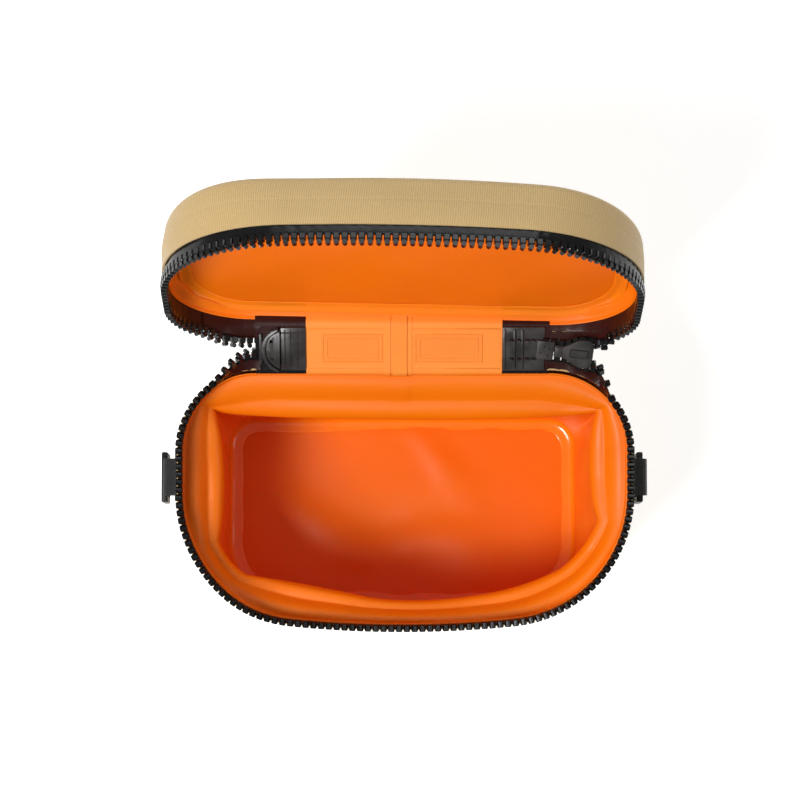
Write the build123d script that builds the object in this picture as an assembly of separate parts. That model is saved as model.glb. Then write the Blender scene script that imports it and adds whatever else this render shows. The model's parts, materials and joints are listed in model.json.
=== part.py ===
"""Waterproof camera bag with a zipped lid, standing open.

Millimetres, +Z up, +X to the wearer's left-hand side of the opening, -Y the front. The origin is the
centre of the flat underside. Everything is first built with the lid shut, then the hinge strip and the
lid are turned back about their two fold lines, which is how the bag stands when it is open.
"""

from build123d import *
import os
from collections import namedtuple
from math import cos, pi, radians, sin, sqrt

os.makedirs("parts", exist_ok=True)

# A plan outline: straight back, rear corners, straight sides, front corners and one long front arc.
Outline = namedtuple("Outline", "half_width back front rear_radius front_radius front_arc")

# ---- Driving dimensions -------------------------------------------------------------------------
RIM = Outline(123.5, 69.0, 69.8, 43.0, 70.0, 600.0)  # middle of the zip, in the sloping rim plane
RIM_HEIGHT = 128.0  # rim plane above the floor, half way back
RIM_SLOPE = 6.0  # degrees, the rim is higher at the back
WAIST = Outline(118.0, 67.6, 67.8, 38.0, 62.0, 700.0)  # outside of the body at WAIST_HEIGHT
WAIST_HEIGHT = 62.0
BASE = Outline(108.0, 61.5, 61.8, 28.0, 44.0, 900.0)  # outside of the underside
FLOOR = Outline(100.5, 54.5, 55.0, 17.0, 34.0, 900.0)  # inside, where the walls meet the floor
CREST = Outline(106.5, 51.0, 55.8, 30.0, 54.0, 700.0)  # inside, where the rim band meets the wall
LID_SHOULDER = Outline(124.4, 69.2, 70.8, 42.0, 63.0, 600.0)  # outside of the lid under its rounded edge
LID_TOP = Outline(120.0, 64.8, 66.4, 38.0, 58.0, 600.0)  # outside edge of the flat top
LID_INSIDE = Outline(118.4, 63.7, 65.3, 37.0, 57.0, 600.0)  # inside, where the walls meet the top
LID_SHOULDER_HEIGHT = 156.9
LID_HEIGHT = 161.5

FABRIC = 0.9
LINING = 0.8
TAPE = 1.2
GAP = 0.15  # between glued layers
SHELL_AT_RIM = TAPE / 2 + GAP + FABRIC  # outside of the fabric, measured out from the zip's middle
LINING_AT_RIM = -TAPE / 2 - GAP  # outside of the lining, measured the same way

FABRIC_EDGE = 11.0  # from the rim plane to the edge of the outer fabric
LINING_EDGE = 14.4  # from the rim plane to the edge of the lining, just clear of the folds
TAPE_EDGE = 6.1  # from the rim plane to the zip teeth's feet
BODY_TAPE_DEPTH = 22.0
LID_TAPE_DEPTH = 15.4
WALL_TOP = 24.0  # where the body wall leaves the zip tape
CREST_DEPTH = 36.0  # inner crest below the rim plane

FOLD = 14.0  # each fold line is this far from the rim plane
STRIP_OPEN = 69.0  # degrees that the hinge strip is laid back
LID_OPEN = 42.3  # degrees more that the lid is laid back
LID_YAW = 1.1  # degrees that the open lid is skewed about the upright, its right end forwards

BASE_FABRIC = 1.2
BASE_FOAM = 3.0
SEAM_TAPE_WIDTH = 7.0
SEAM_TAPE = 0.4

STRIP_END = 75.5  # half length of the hinge strip
DOCK_INNER_END = 52.0  # on the left
PANEL_END = 54.0  # on the right
DOCK_END = 77.2
HINGE_NOTCH = 79.0  # body and lid are cut back to here beside the hinge strip
SLIDER_CLEAR = 106.5  # the exposed rows start here on the slider's side
SLIDER_DIP = 6.0

TOOTH_PITCH = 4.2
TIP_GAP = 0.5  # from the rim plane to a tooth's tip
LOOP_Y = 14.0  # side loops, behind the middle
LOOP_Z = 100.0
RING_X = 130.2

rim_plane = Plane(
    origin=(0, 0, RIM_HEIGHT),
    x_dir=(1, 0, 0),
    z_dir=(0, -sin(radians(RIM_SLOPE)), cos(radians(RIM_SLOPE))),
)


# ---- Shape helpers ------------------------------------------------------------------------------
def outline_points(shape, grow=0.0):
    """Joints and arc mid-points of the right half of an outline, from the back to the front."""
    rear_x = shape.half_width - shape.rear_radius
    rear_y = shape.back - shape.rear_radius
    corner_x = shape.half_width - shape.front_radius
    reach = shape.front_arc - shape.front_radius
    arc_y = shape.front_arc - shape.front
    corner_y = arc_y - sqrt(reach**2 - corner_x**2)
    rear = shape.rear_radius + grow
    corner = shape.front_radius + grow
    arc = shape.front_arc + grow
    ux, uy = corner_x / reach, (corner_y - arc_y) / reach
    middle = Vector(1 + ux, uy).normalized()
    half = Vector(0.5 * ux, 0.5 * (uy - 1)).normalized()
    return {
        "back": (rear_x, rear_y + rear),
        "rear_mid": (rear_x + rear * sqrt(0.5), rear_y + rear * sqrt(0.5)),
        "side_rear": (rear_x + rear, rear_y),
        "side_front": (corner_x + corner, corner_y),
        "front_mid": (corner_x + corner * middle.X, corner_y + corner * middle.Y),
        "front": (arc * ux, arc_y + arc * uy),
        "front_half": (arc * half.X, arc_y + arc * half.Y),
        "nose": (0.0, arc_y - arc),
    }


def outline(shape, grow=0.0):
    """The closed outline as a wire in the XY plane, grown outwards by an amount."""
    p = outline_points(shape, grow)
    m = {name: (-x, y) for name, (x, y) in p.items()}
    return Wire(
        [
            Edge.make_line(m["back"], p["back"]),
            Edge.make_three_point_arc(p["back"], p["rear_mid"], p["side_rear"]),
            Edge.make_line(p["side_rear"], p["side_front"]),
            Edge.make_three_point_arc(p["side_front"], p["front_mid"], p["front"]),
            Edge.make_three_point_arc(p["front"], p["nose"], m["front"]),
            Edge.make_three_point_arc(m["front"], m["front_mid"], m["side_front"]),
            Edge.make_line(m["side_front"], m["side_rear"]),
            Edge.make_three_point_arc(m["side_rear"], m["rear_mid"], m["back"]),
        ]
    )


def level(height):
    """A horizontal section's place."""
    return Location((0, 0, height))


def rim(offset):
    """A section's place parallel to the rim plane, offset upwards along its normal."""
    return rim_plane.offset(offset).location


def rim_point(back, offset):
    """A point half way along, from its distances back in the rim plane and above it."""
    return rim_plane.from_local_coords(Vector(0, back, offset))


def tub(*sections):
    """A solid through sections, each (place, outline, grow)."""
    return Solid.make_loft([outline(s, g).moved(place) for place, s, g in sections], ruled=True)


def skin(thickness, *sections):
    """A wall whose outside passes through the sections."""
    inner = [(place, s, g - thickness) for place, s, g in sections]
    return tub(*sections) - tub(*inner)


def prism(shape, grow, height):
    """A grown outline raised straight up from the XY plane."""
    return extrude(Face(outline(shape, grow)), height, dir=(0, 0, 1))


def plate(shape, grow, low, high):
    """A flat panel of an outline."""
    return prism(shape, grow, high - low).moved(level(low))


def flat_ring(shape, grow, width, low, high):
    """A flat band that follows an outline."""
    return plate(shape, grow, low, high) - plate(shape, grow - width, low - 1, high + 1)


def rim_ring(outer, inner, low, high):
    """A band that stands on the rim outline, at right angles to the rim plane."""
    band = prism(RIM, outer, high - low) - prism(RIM, inner, high - low)
    return band.moved(rim(low))


def rim_box(x0, x1, y0, y1, z0, z1):
    """A box in the rim plane's own axes."""
    middle = Location(((x0 + x1) / 2, (y0 + y1) / 2, (z0 + z1) / 2))
    return Box(x1 - x0, y1 - y0, z1 - z0).moved(rim(0) * middle)


def back_plate(x0, x1, inside, outside, z0, z1):
    """A plate on the hinge strip, placed by its distances inside and outside the zip's middle."""
    return rim_box(x0, x1, RIM.back + inside, RIM.back + outside, z0, z1)


def save(name, shape):
    export_step(Compound(children=list(shape.solids()), label=name), f"parts/{name}.step")


# ---- Opening the bag ----------------------------------------------------------------------------
lower_fold = Axis(rim_point(RIM.back, -FOLD), (1, 0, 0))
upper_fold = Axis(rim_point(RIM.back, FOLD), (1, 0, 0))


def open_strip(shape):
    return shape.rotate(lower_fold, -STRIP_OPEN)


open_fold = open_strip(Vertex(upper_fold.position)).center()


def open_lid(shape):
    laid_back = open_strip(shape.rotate(upper_fold, -LID_OPEN))
    return laid_back.rotate(Axis(open_fold, (0, 0, 1)), -LID_YAW)


def lean(shape):
    """Turns the stop and the slider in the strip's own plane, about the dock's end."""
    return shape.rotate(Axis(rim_plane.from_local_coords(Vector(DOCK_END, RIM.back, 0)), rim_plane.y_dir), SLIDER_DIP)


# ---- Body: layers from the outside in -----------------------------------------------------------
hinge_notch = rim_box(-HINGE_NOTCH, HINGE_NOTCH, RIM.back - 30, RIM.back + 30, -FOLD - 0.4, 40)
slider_notch = rim_box(0, SLIDER_CLEAR, RIM.back - 30, RIM.back + 30, -FABRIC_EDGE, FABRIC_EDGE)
WALL_FOOT = BASE_FABRIC + GAP
body_walls = (
    (level(WALL_FOOT), BASE, 0.0),
    (level(WAIST_HEIGHT), WAIST, 0.0),
    (rim(-WALL_TOP), RIM, SHELL_AT_RIM),
    (rim(-FABRIC_EDGE), RIM, SHELL_AT_RIM),
)
FLOOR_LEVEL = BASE_FABRIC + BASE_FOAM + 2 * GAP


def body_sections(grow):
    """The same walls, grown."""
    return [(place, s, g + grow) for place, s, g in body_walls]


body_shell = skin(FABRIC, *body_walls) - hinge_notch
base_panel = plate(BASE, 0, 0, BASE_FABRIC)
base_foam = plate(FLOOR, 0, BASE_FABRIC + GAP, BASE_FABRIC + GAP + BASE_FOAM)

lining_wall = (
    (level(FLOOR_LEVEL), FLOOR, 0.0),
    (rim(-CREST_DEPTH), CREST, 0.0),
)
lining_band = (
    (rim(-CREST_DEPTH + GAP), CREST, 0.0),
    (rim(-WALL_TOP), RIM, LINING_AT_RIM),
    (rim(-LINING_EDGE), RIM, LINING_AT_RIM),
)
wall_lining = skin(LINING, *lining_wall)
rim_lining = skin(LINING, *lining_band)
base_lining = plate(FLOOR, -LINING - GAP, FLOOR_LEVEL, FLOOR_LEVEL + LINING)
FLOOR_SURFACE = FLOOR_LEVEL + LINING
base_seam_tape = flat_ring(
    FLOOR, -LINING - 2 * GAP - 0.4, SEAM_TAPE_WIDTH, FLOOR_SURFACE + 0.05, FLOOR_SURFACE + 0.05 + SEAM_TAPE
)

lining_outside = tub(
    (level(WALL_FOOT), FLOOR, GAP),
    (level(FLOOR_LEVEL), FLOOR, GAP),
    (rim(-CREST_DEPTH), CREST, GAP),
    (rim(-WALL_TOP), RIM, LINING_AT_RIM + GAP),
)
wall_block = tub(*[(p, s, g - FABRIC - GAP) for p, s, g in body_walls[:3]])
wall_foam = wall_block - lining_outside - rim_box(-200, 200, -200, 200, -WALL_TOP - 0.5, 60)


# ---- Zip: one tape and one row of teeth on each side --------------------------------------------
def zip_tape(low, high):
    tape = rim_ring(TAPE / 2, -TAPE / 2, low, high)
    return tape - hinge_notch - slider_notch


def tooth(side):
    """One moulded tooth, its foot on the tape's edge and its tip towards the rim plane."""
    foot, head, tip = TAPE_EDGE - 0.05, 2.3, TIP_GAP
    block = Box(2.5, 4.6, foot - head).moved(Location((0, 0, (foot + head) / 2)))
    waist = Box(1.5, 3.2, head - 1.6).moved(Location((0, 0, (head + 1.6) / 2)))
    nib = Box(2.2, 3.6, 1.6 - tip).moved(Location((0, 0, (1.6 + tip) / 2)))
    whole = block + waist + nib
    return whole if side > 0 else whole.rotate(Axis.X, 180)


def zip_teeth(side):
    """The row on the lid (side +1) or on the body (side -1), which are half a pitch apart."""
    path = outline(RIM)
    count = int(path.length / TOOTH_PITCH)
    pitch = path.length / count
    one = tooth(side)
    row = []
    for n in range(count):
        u = ((n + (0.25 if side > 0 else 0.75)) * pitch) / path.length
        at, along = path.position_at(u), path.tangent_at(u)
        beside_hinge = at.Y > 0 and -HINGE_NOTCH - 1.5 < at.X < SLIDER_CLEAR + 1.5
        if not beside_hinge:
            place = Plane(origin=at, x_dir=along, z_dir=(0, 0, 1))
            row.append(one.moved(rim(0) * place.location))
    return Compound(children=row)


body_zip_tape = zip_tape(-BODY_TAPE_DEPTH, -TAPE_EDGE)
lid_zip_tape = zip_tape(TAPE_EDGE, LID_TAPE_DEPTH)
body_zip_teeth = zip_teeth(-1)
lid_zip_teeth = zip_teeth(1)

# ---- Side loops and strap rings -----------------------------------------------------------------
PATCH = 1.0
WEB = 1.3
WEB_WIDTH = 20.0
BAR = 3.4
RING_WIDTH = 27.5
RING_DROP = 21.0
BAR_POCKET = 2.8  # half height of the pocket that holds the ring's bar


def wall_pad(start, thickness, width, low, high):
    """A pad that lies on the right-hand wall."""
    ring = tub(*body_sections(start + thickness)) - tub(*body_sections(start))
    return ring & Box(60, width, high - low).moved(Location((RING_X - 10, LOOP_Y, (low + high) / 2)))


def pocket(half_height):
    """The loop's side view: a slot from the ring's bar back towards the wall."""
    back = 5.2
    slot = Rectangle(back, 2 * half_height).moved(Location((-back / 2, 0))) + Circle(half_height)
    across = Plane(origin=(RING_X, LOOP_Y - WEB_WIDTH / 2, LOOP_Z), x_dir=(1, 0, 0), z_dir=(0, -1, 0))
    return extrude(across * slot, -WEB_WIDTH)


def strap_ring():
    """A flat moulded ring that hangs from its top bar."""
    frame = RectangleRounded(RING_WIDTH, RING_DROP, 3.5) - RectangleRounded(
        RING_WIDTH - 2 * BAR, RING_DROP - 2 * BAR, 1.2
    )
    ring = extrude(frame, BAR / 2, both=True)
    outer_edges = ring.edges().filter_by(GeomType.LINE, reverse=True).group_by(SortBy.LENGTH)[-1]
    ring = fillet(outer_edges, 0.8) if outer_edges else ring
    upright = Plane(origin=(RING_X, LOOP_Y, LOOP_Z - RING_DROP / 2 + BAR / 2), x_dir=(0, 1, 0), z_dir=(1, 0, 0))
    return ring.moved(upright.location)


loop_patch = wall_pad(GAP, PATCH, 27.0, LOOP_Z - 17, LOOP_Z + 8)
web_base = wall_pad(2 * GAP + PATCH, WEB, WEB_WIDTH, LOOP_Z - 13, LOOP_Z + 5)
wall_clear = tub(*body_sections(2 * GAP + PATCH))
web_loop = (web_base + (pocket(BAR_POCKET + WEB) - wall_clear)) - pocket(BAR_POCKET)
ring = strap_ring()

# ---- Hinge strip, which joins lid and body at the back ------------------------------------------
TAPE_FACE = TAPE / 2 + GAP
OUTER_REACH = FOLD - 2.4  # the outside layers stop short of the folds, so they clear the walls
INNER_REACH = FOLD - 0.4
DOCK_REACH = FOLD - 1.4
hinge_web = back_plate(-STRIP_END, STRIP_END, -TAPE / 2, TAPE / 2, -OUTER_REACH, OUTER_REACH)
hinge_outer_panel = back_plate(
    -STRIP_END, STRIP_END, TAPE_FACE, TAPE_FACE + FABRIC, -OUTER_REACH, OUTER_REACH
)
hinge_inner_panel = back_plate(
    -DOCK_INNER_END + 0.3, PANEL_END - 0.3, -TAPE_FACE - LINING, -TAPE_FACE, -INNER_REACH, INNER_REACH
)
PATCH_FACE = TAPE_FACE + LINING + GAP
centre_seam_tape = back_plate(-8.5, 4.5, -PATCH_FACE - 0.5, -PATCH_FACE, -INNER_REACH, INNER_REACH)
hinge_patch_left = back_plate(-43.5, -10.2, -PATCH_FACE - 0.35, -PATCH_FACE, -8.2, 8.2)
hinge_patch_right = back_plate(6.2, 43.5, -PATCH_FACE - 0.35, -PATCH_FACE, -8.2, 8.2)


def dock():
    """The moulded end that grips both tapes, on the left. It is a clip round the strip's end."""
    inner = back_plate(-DOCK_END, -DOCK_INNER_END, -2.6, -TAPE_FACE, -DOCK_REACH, DOCK_REACH)
    outer = back_plate(-DOCK_END, -DOCK_INNER_END - 5, TAPE_FACE + FABRIC + GAP, 3.2, -7.4, 7.4)
    end = back_plate(-DOCK_END, -STRIP_END - 0.2, -2.6, 3.2, -9.0, 9.0)
    return inner + outer + end


dock_block = dock()
garage_lip = back_plate(-74.8, -73.2, -5.0, -2.6, -8.0, 8.0)
garage_pad = back_plate(-71.0, -66.8, -4.2, -2.6, -8.6, 8.6)
zip_garage = dock_block + garage_lip + garage_pad
end_ridges = [back_plate(x, x + 1.0, -3.1, -2.6, -8.4, 8.4) for x in (57.0, 62.0, 67.0)]
panel_side = back_plate(0, PANEL_END, -4, 0, -FOLD, FOLD)
zip_end_dock = mirror(dock_block, about=Plane.YZ) - panel_side + end_ridges
stop_plate = back_plate(72.5, 81.6, -4.4, -2.75, -5.2, 5.2)
stop_core = back_plate(DOCK_END + 1.0, 81.6, -2.75, 2.75, -4.0, 4.0)
zip_stop = lean(stop_plate + stop_core)

# ---- Slider and its puller ----------------------------------------------------------------------
SLIDER_START = 82.0
SLIDER_END = 104.5
WING_IN, WING_OUT = 3.1, 4.8  # distance of each wing's faces from the zip's middle
PIN_OFFSET = 8.4
PIN_X = 93.0
PIN_RADIUS = 1.3


def strip_profile(points):
    """A face in the strip's own plane from (x, height) corners."""
    return Plane(rim(0) * Location((0, RIM.back, 0), (90, 0, 0))) * make_face(Polyline(*points, close=True))


def wing(inside, outside, trim=0.0):
    """A wedge-shaped plate: narrow where the rows are shut, wide where they part."""
    half = [
        (SLIDER_START, 4.2 - trim),
        (SLIDER_START + 4.2, 3.9 - trim),
        (SLIDER_START + 16.5, 8.2 - trim),
        (SLIDER_END - 2.5, 8.2 - trim),
        (SLIDER_END, 6.2 - trim),
    ]
    points = half + [(x, -h) for x, h in reversed(half)]
    face = strip_profile(points)
    return extrude(face, outside - inside).moved(Location(rim_plane.y_dir * outside))


def strip_cylinder(x, offset, radius, length):
    """A pin that runs across the strip, centred on the zip's middle height."""
    return Cylinder(radius, length).moved(rim(0) * Location((x, RIM.back + offset, 0)))


def slider():
    inner_wing = wing(-WING_OUT, -WING_IN)
    outer_wing = wing(WING_IN, WING_OUT)
    inner_rim = wing(-WING_IN, -1.9) - wing(-WING_IN - 1, -1, trim=1.2)
    outer_rim = wing(1.9, WING_IN) - wing(1, WING_IN + 1, trim=1.2)
    diamond = back_plate(SLIDER_END - 8.5, SLIDER_END - 2.0, -WING_IN, WING_IN, -2.0, 2.0)
    ears = [
        back_plate(PIN_X - 2.6, PIN_X + 2.6, WING_OUT, PIN_OFFSET + 2.2, z0, z0 + 1.5) for z0 in (2.3, -3.8)
    ]
    hole = strip_cylinder(PIN_X, PIN_OFFSET, PIN_RADIUS + 0.05, 12)
    return lean(inner_wing + outer_wing + inner_rim + outer_rim + diamond + ears - hole)


slider_body = slider()
slider_pin = lean(strip_cylinder(PIN_X, PIN_OFFSET, PIN_RADIUS, 7.6))
puller_eye = strip_cylinder(PIN_X, PIN_OFFSET, 2.9, 4.0)
puller_neck = back_plate(PIN_X - 1.1, PIN_X + 1.1, PIN_OFFSET + 1.8, PIN_OFFSET + 14.0, -2.0, 2.0)
puller_tongue = back_plate(PIN_X - 0.8, PIN_X + 0.8, PIN_OFFSET + 14.0, PIN_OFFSET + 32.0, -3.6, 3.6)
puller_hole = strip_cylinder(PIN_X, PIN_OFFSET, PIN_RADIUS + 0.08, 6)
puller_core = lean(puller_eye + puller_neck + puller_tongue - puller_hole)
grip_block = back_plate(PIN_X - 2.2, PIN_X + 2.2, PIN_OFFSET + 9.0, PIN_OFFSET + 36.0, -5.6, 5.6)
grip_slot = back_plate(PIN_X - 0.9, PIN_X + 0.9, PIN_OFFSET + 13.9, PIN_OFFSET + 32.1, -3.7, 3.7)
grip_mouth = back_plate(PIN_X - 1.2, PIN_X + 1.2, PIN_OFFSET + 8.9, PIN_OFFSET + 14.1, -2.1, 2.1)
puller_grip = lean(grip_block - grip_slot - grip_mouth)

# ---- Lid ----------------------------------------------------------------------------------------
LID_SKIN_TOP = LID_HEIGHT - FABRIC
LID_FOAM = 3.0
LID_CEILING = LID_SKIN_TOP - 2 * GAP - LID_FOAM - LINING  # the lining's face inside the lid
lid_band = (
    skin(
        FABRIC,
        (rim(FABRIC_EDGE), RIM, SHELL_AT_RIM),
        (rim(LID_TAPE_DEPTH + GAP), RIM, SHELL_AT_RIM),
        (level(LID_SHOULDER_HEIGHT), LID_SHOULDER, 0.0),
        (level(LID_HEIGHT), LID_TOP, 0.0),
    )
    - rim_box(-HINGE_NOTCH, HINGE_NOTCH, RIM.back - 30, RIM.back + 30, 0, FOLD + 0.4)
)
lid_top_panel = plate(LID_TOP, -FABRIC - GAP, LID_SKIN_TOP, LID_HEIGHT)
lid_foam = plate(LID_INSIDE, 0, LID_SKIN_TOP - GAP - LID_FOAM, LID_SKIN_TOP - GAP)
lid_top_lining = plate(LID_INSIDE, 0, LID_CEILING, LID_CEILING + LINING)
lid_wall_lining = skin(
    LINING,
    (rim(LINING_EDGE), RIM, LINING_AT_RIM),
    (level(LID_CEILING - GAP), LID_INSIDE, 0.0),
)
lid_seam_tape = flat_ring(
    LID_INSIDE, -LINING - 1.0, SEAM_TAPE_WIDTH, LID_CEILING - 0.05 - SEAM_TAPE, LID_CEILING - 0.05
)

# ---- Everything in its open place ---------------------------------------------------------------
for name, shape in {
    "body_shell": body_shell,
    "base_panel": base_panel,
    "base_foam": base_foam,
    "wall_foam": wall_foam,
    "wall_lining": wall_lining,
    "rim_lining": rim_lining,
    "base_lining": base_lining,
    "base_seam_tape": base_seam_tape,
    "body_zip_tape": body_zip_tape,
    "body_zip_teeth": body_zip_teeth,
    "right_loop_patch": loop_patch,
    "right_web_loop": web_loop,
    "right_strap_ring": ring,
    "left_loop_patch": mirror(loop_patch, about=Plane.YZ),
    "left_web_loop": mirror(web_loop, about=Plane.YZ),
    "left_strap_ring": mirror(ring, about=Plane.YZ),
}.items():
    save(name, shape)

for name, shape in {
    "hinge_web": hinge_web,
    "hinge_outer_panel": hinge_outer_panel,
    "hinge_inner_panel": hinge_inner_panel,
    "centre_seam_tape": centre_seam_tape,
    "hinge_patch_left": hinge_patch_left,
    "hinge_patch_right": hinge_patch_right,
    "zip_garage": zip_garage,
    "zip_end_dock": zip_end_dock,
    "zip_stop": zip_stop,
    "slider_body": slider_body,
    "slider_pin": slider_pin,
    "puller_core": puller_core,
    "puller_grip": puller_grip,
}.items():
    save(name, open_strip(shape))

for name, shape in {
    "lid_band": lid_band,
    "lid_top_panel": lid_top_panel,
    "lid_foam": lid_foam,
    "lid_top_lining": lid_top_lining,
    "lid_wall_lining": lid_wall_lining,
    "lid_seam_tape": lid_seam_tape,
    "lid_zip_tape": lid_zip_tape,
    "lid_zip_teeth": lid_zip_teeth,
}.items():
    save(name, open_lid(shape))
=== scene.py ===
"""Zipped camera bag, standing open: the looks of every piece, built round the packed model."""

import json
from math import atan2, cos, exp, hypot, pi, radians, sin, sqrt

import bpy
import numpy as np
from mathutils import Matrix, Vector


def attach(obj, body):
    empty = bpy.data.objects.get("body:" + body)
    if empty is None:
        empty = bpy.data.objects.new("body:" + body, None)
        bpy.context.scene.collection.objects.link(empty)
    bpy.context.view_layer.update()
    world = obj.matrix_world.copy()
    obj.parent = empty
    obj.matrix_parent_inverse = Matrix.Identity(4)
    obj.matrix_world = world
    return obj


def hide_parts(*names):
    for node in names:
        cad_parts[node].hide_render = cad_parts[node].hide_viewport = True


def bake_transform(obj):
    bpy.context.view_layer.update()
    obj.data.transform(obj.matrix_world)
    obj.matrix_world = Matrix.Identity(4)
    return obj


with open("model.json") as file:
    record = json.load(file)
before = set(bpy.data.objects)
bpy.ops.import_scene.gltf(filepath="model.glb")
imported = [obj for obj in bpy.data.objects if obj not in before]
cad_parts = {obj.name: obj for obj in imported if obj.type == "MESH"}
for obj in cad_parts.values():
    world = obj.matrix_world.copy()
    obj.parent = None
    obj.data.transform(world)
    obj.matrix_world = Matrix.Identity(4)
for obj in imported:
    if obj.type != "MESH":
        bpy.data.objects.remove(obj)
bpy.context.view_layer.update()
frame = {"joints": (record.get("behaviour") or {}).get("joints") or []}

bl_info = {
    "name": "Camera bag",
    "version": (1, 0, 0),
    "blender": (4, 5, 0),
    "location": "3D View > Sidebar > Camera bag",
    "description": "Builds a zipped camera bag piece by piece",
    "category": "Object",
}

MM = 0.001
JOINTS = {j["name"]: j for j in frame["joints"]}

# Plan outlines in mm: half width, back, front, rear corner, front corner and front arc radii.
RIM = (123.5, 69.0, 69.8, 43.0, 70.0, 600.0)
WAIST = (118.0, 67.6, 67.8, 38.0, 62.0, 700.0)
BASE = (108.0, 61.5, 61.8, 28.0, 44.0, 900.0)
FLOOR = (100.5, 54.5, 55.0, 17.0, 34.0, 900.0)
LID_SHOULDER = (124.4, 69.2, 70.8, 42.0, 63.0, 600.0)
LID_INSIDE = (118.4, 63.7, 65.3, 37.0, 57.0, 600.0)
RIM_HEIGHT, RIM_SLOPE = 128.0, radians(6.0)
FABRIC, LINING = 0.9, 0.8
SHELL_OUT, SHELL_EDGE = 1.65, 11.0  # the outer fabric's place beside the zip's middle, and its edge below it
LINING_EDGE = 14.4
FOLD, FOLD_SOFT = 14.0, 3.2  # where the strip folds, and how far the bend spreads to each side
DOCK_END = 77.2  # where the dock at the strip's right end stops
BACK = 30.0  # beyond this a point of a row is at the back, where the strip is
RIGHT_BEND = 76.5  # from here the right rows bend
ROW_DIP = 0.105  # how much the rows sink per mm beyond the dock
PANEL_LEFT, PANEL_RIGHT = -52.0, 54.0
ROW_FREE, ROW_HELD = 107.0, 79.0  # across these the zip rows turn from the wall on to the strip
SLIDER_END = 103.0
COLUMNS = 240


# ---- Settings that a user may change ------------------------------------------------------------
class BagSizes(bpy.types.PropertyGroup):
    tooth_pitch: bpy.props.FloatProperty(
        name="Tooth pitch", description="From one zip tooth to the next", default=0.0042, unit="LENGTH"
    )
    weave_pitch: bpy.props.FloatProperty(
        name="Twill pitch", description="From one rib of the outer fabric to the next", default=0.00115, unit="LENGTH"
    )
    lining_pitch: bpy.props.FloatProperty(
        name="Lining pitch", description="From one thread of the lining to the next", default=0.0007, unit="LENGTH"
    )
    floor_size: bpy.props.FloatProperty(
        name="Floor size", description="Side of the studio floor", default=6.0, unit="LENGTH"
    )


def colour(name, description, value):
    return bpy.props.FloatVectorProperty(
        name=name, description=description, default=value, subtype="COLOR", size=3, min=0.0, max=1.0
    )


class BagColours(bpy.types.PropertyGroup):
    sand: colour("Sand", "Outer fabric", (0.55, 0.38, 0.165))
    orange: colour("Orange", "Lining", (0.93, 0.190, 0.0008))
    black: colour("Black", "Zip, webbing and base", (0.006, 0.006, 0.0065))
    # Dark red painted on the black tape's inner face: a painted reflection of the orange lining.
    tape_inside_reflection_red: colour("Maroon", "Inner face of the zip tape", (0.022, 0.004, 0.003))
    grey: colour("Dark grey", "Docks and slider", (0.028, 0.0265, 0.026))


def sizes():
    return bpy.context.scene.bag_sizes


def colours():
    return bpy.context.scene.bag_colours


# ---- Where things are ---------------------------------------------------------------------------
def smooth(t):
    t = min(max(t, 0.0), 1.0)
    return t * t * (3 - 2 * t)


def outline(shape, grow=0.0):
    """Dense plan points of an outline, anticlockwise from the right."""
    half, back, front, rear_r, front_r, arc_r = shape
    rear_x, rear_y = half - rear_r, back - rear_r
    corner_x = half - front_r
    reach = arc_r - front_r
    arc_y = arc_r - front
    corner_y = arc_y - sqrt(reach**2 - corner_x**2)
    lean = atan2(corner_x, arc_y - corner_y)
    points = []

    def arc(cx, cy, r, a, b, n):
        for k in range(n):
            t = a + (b - a) * k / n
            points.append((cx + r * cos(t), cy + r * sin(t)))

    def line(a, b, n):
        for k in range(n):
            points.append((a[0] + (b[0] - a[0]) * k / n, a[1] + (b[1] - a[1]) * k / n))

    side = half + grow
    line((side, corner_y), (side, rear_y), 40)
    arc(rear_x, rear_y, rear_r + grow, 0, pi / 2, 60)
    line((rear_x, back + grow), (-rear_x, back + grow), 80)
    arc(-rear_x, rear_y, rear_r + grow, pi / 2, pi, 60)
    line((-side, rear_y), (-side, corner_y), 40)
    arc(-corner_x, corner_y, front_r + grow, pi, 1.5 * pi - lean, 80)
    arc(0, arc_y, arc_r + grow, 1.5 * pi - lean, 1.5 * pi + lean, 120)
    arc(corner_x, corner_y, front_r + grow, 1.5 * pi + lean, 2 * pi, 80)
    return np.array(points)


def around(shape, grow=0.0, angles=None):
    """Plan points of an outline at evenly spread angles, or at the given ones."""
    p = outline(shape, grow)
    a = np.unwrap(np.arctan2(p[:, 1], p[:, 0]))
    r = np.hypot(p[:, 0], p[:, 1])
    if angles is None:
        angles = column_angles()
    shift = (np.asarray(angles) - a[0]) % (2 * pi) + a[0]
    radius = np.interp(shift, np.append(a, a[0] + 2 * pi), np.append(r, r[0]))
    return np.stack([radius * np.cos(angles), radius * np.sin(angles)], 1)


def rim_path():
    """Closed dense path of the zip's middle in the rim plane, and the distance along it."""
    p = outline(RIM)
    closed = np.vstack([p, p[:1]])
    run = np.concatenate([[0], np.cumsum(np.hypot(*np.diff(closed, axis=0).T))])
    return closed, run


def column_angles():
    """Angles at which the columns of every wall stand: evenly spread along the rim."""
    closed, run = rim_path()
    a = np.unwrap(np.arctan2(closed[:, 1], closed[:, 0]))
    a[-1] = a[0] + 2 * pi
    return np.interp(np.linspace(0, run[-1], COLUMNS, endpoint=False), run, a)


def in_rim(x, y, up):
    """A point given in the sloping rim plane's own axes, in mm, with the lid shut."""
    return Vector(
        (x, y * cos(RIM_SLOPE) - up * sin(RIM_SLOPE), RIM_HEIGHT + y * sin(RIM_SLOPE) + up * cos(RIM_SLOPE))
    )


def pressed(p):
    """The soft body stands a little pressed in on its left."""
    p = Vector(p)
    p.x += 2.8 * smooth((-p.x - 75) / 45) * smooth(p.z / 90)
    return p


def about(position, axis, angle):
    """A rotation about a line, in mm."""
    place = Vector(position)
    return Matrix.Translation(place) @ Matrix.Rotation(angle, 4, Vector(axis)) @ Matrix.Translation(-place)


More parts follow.
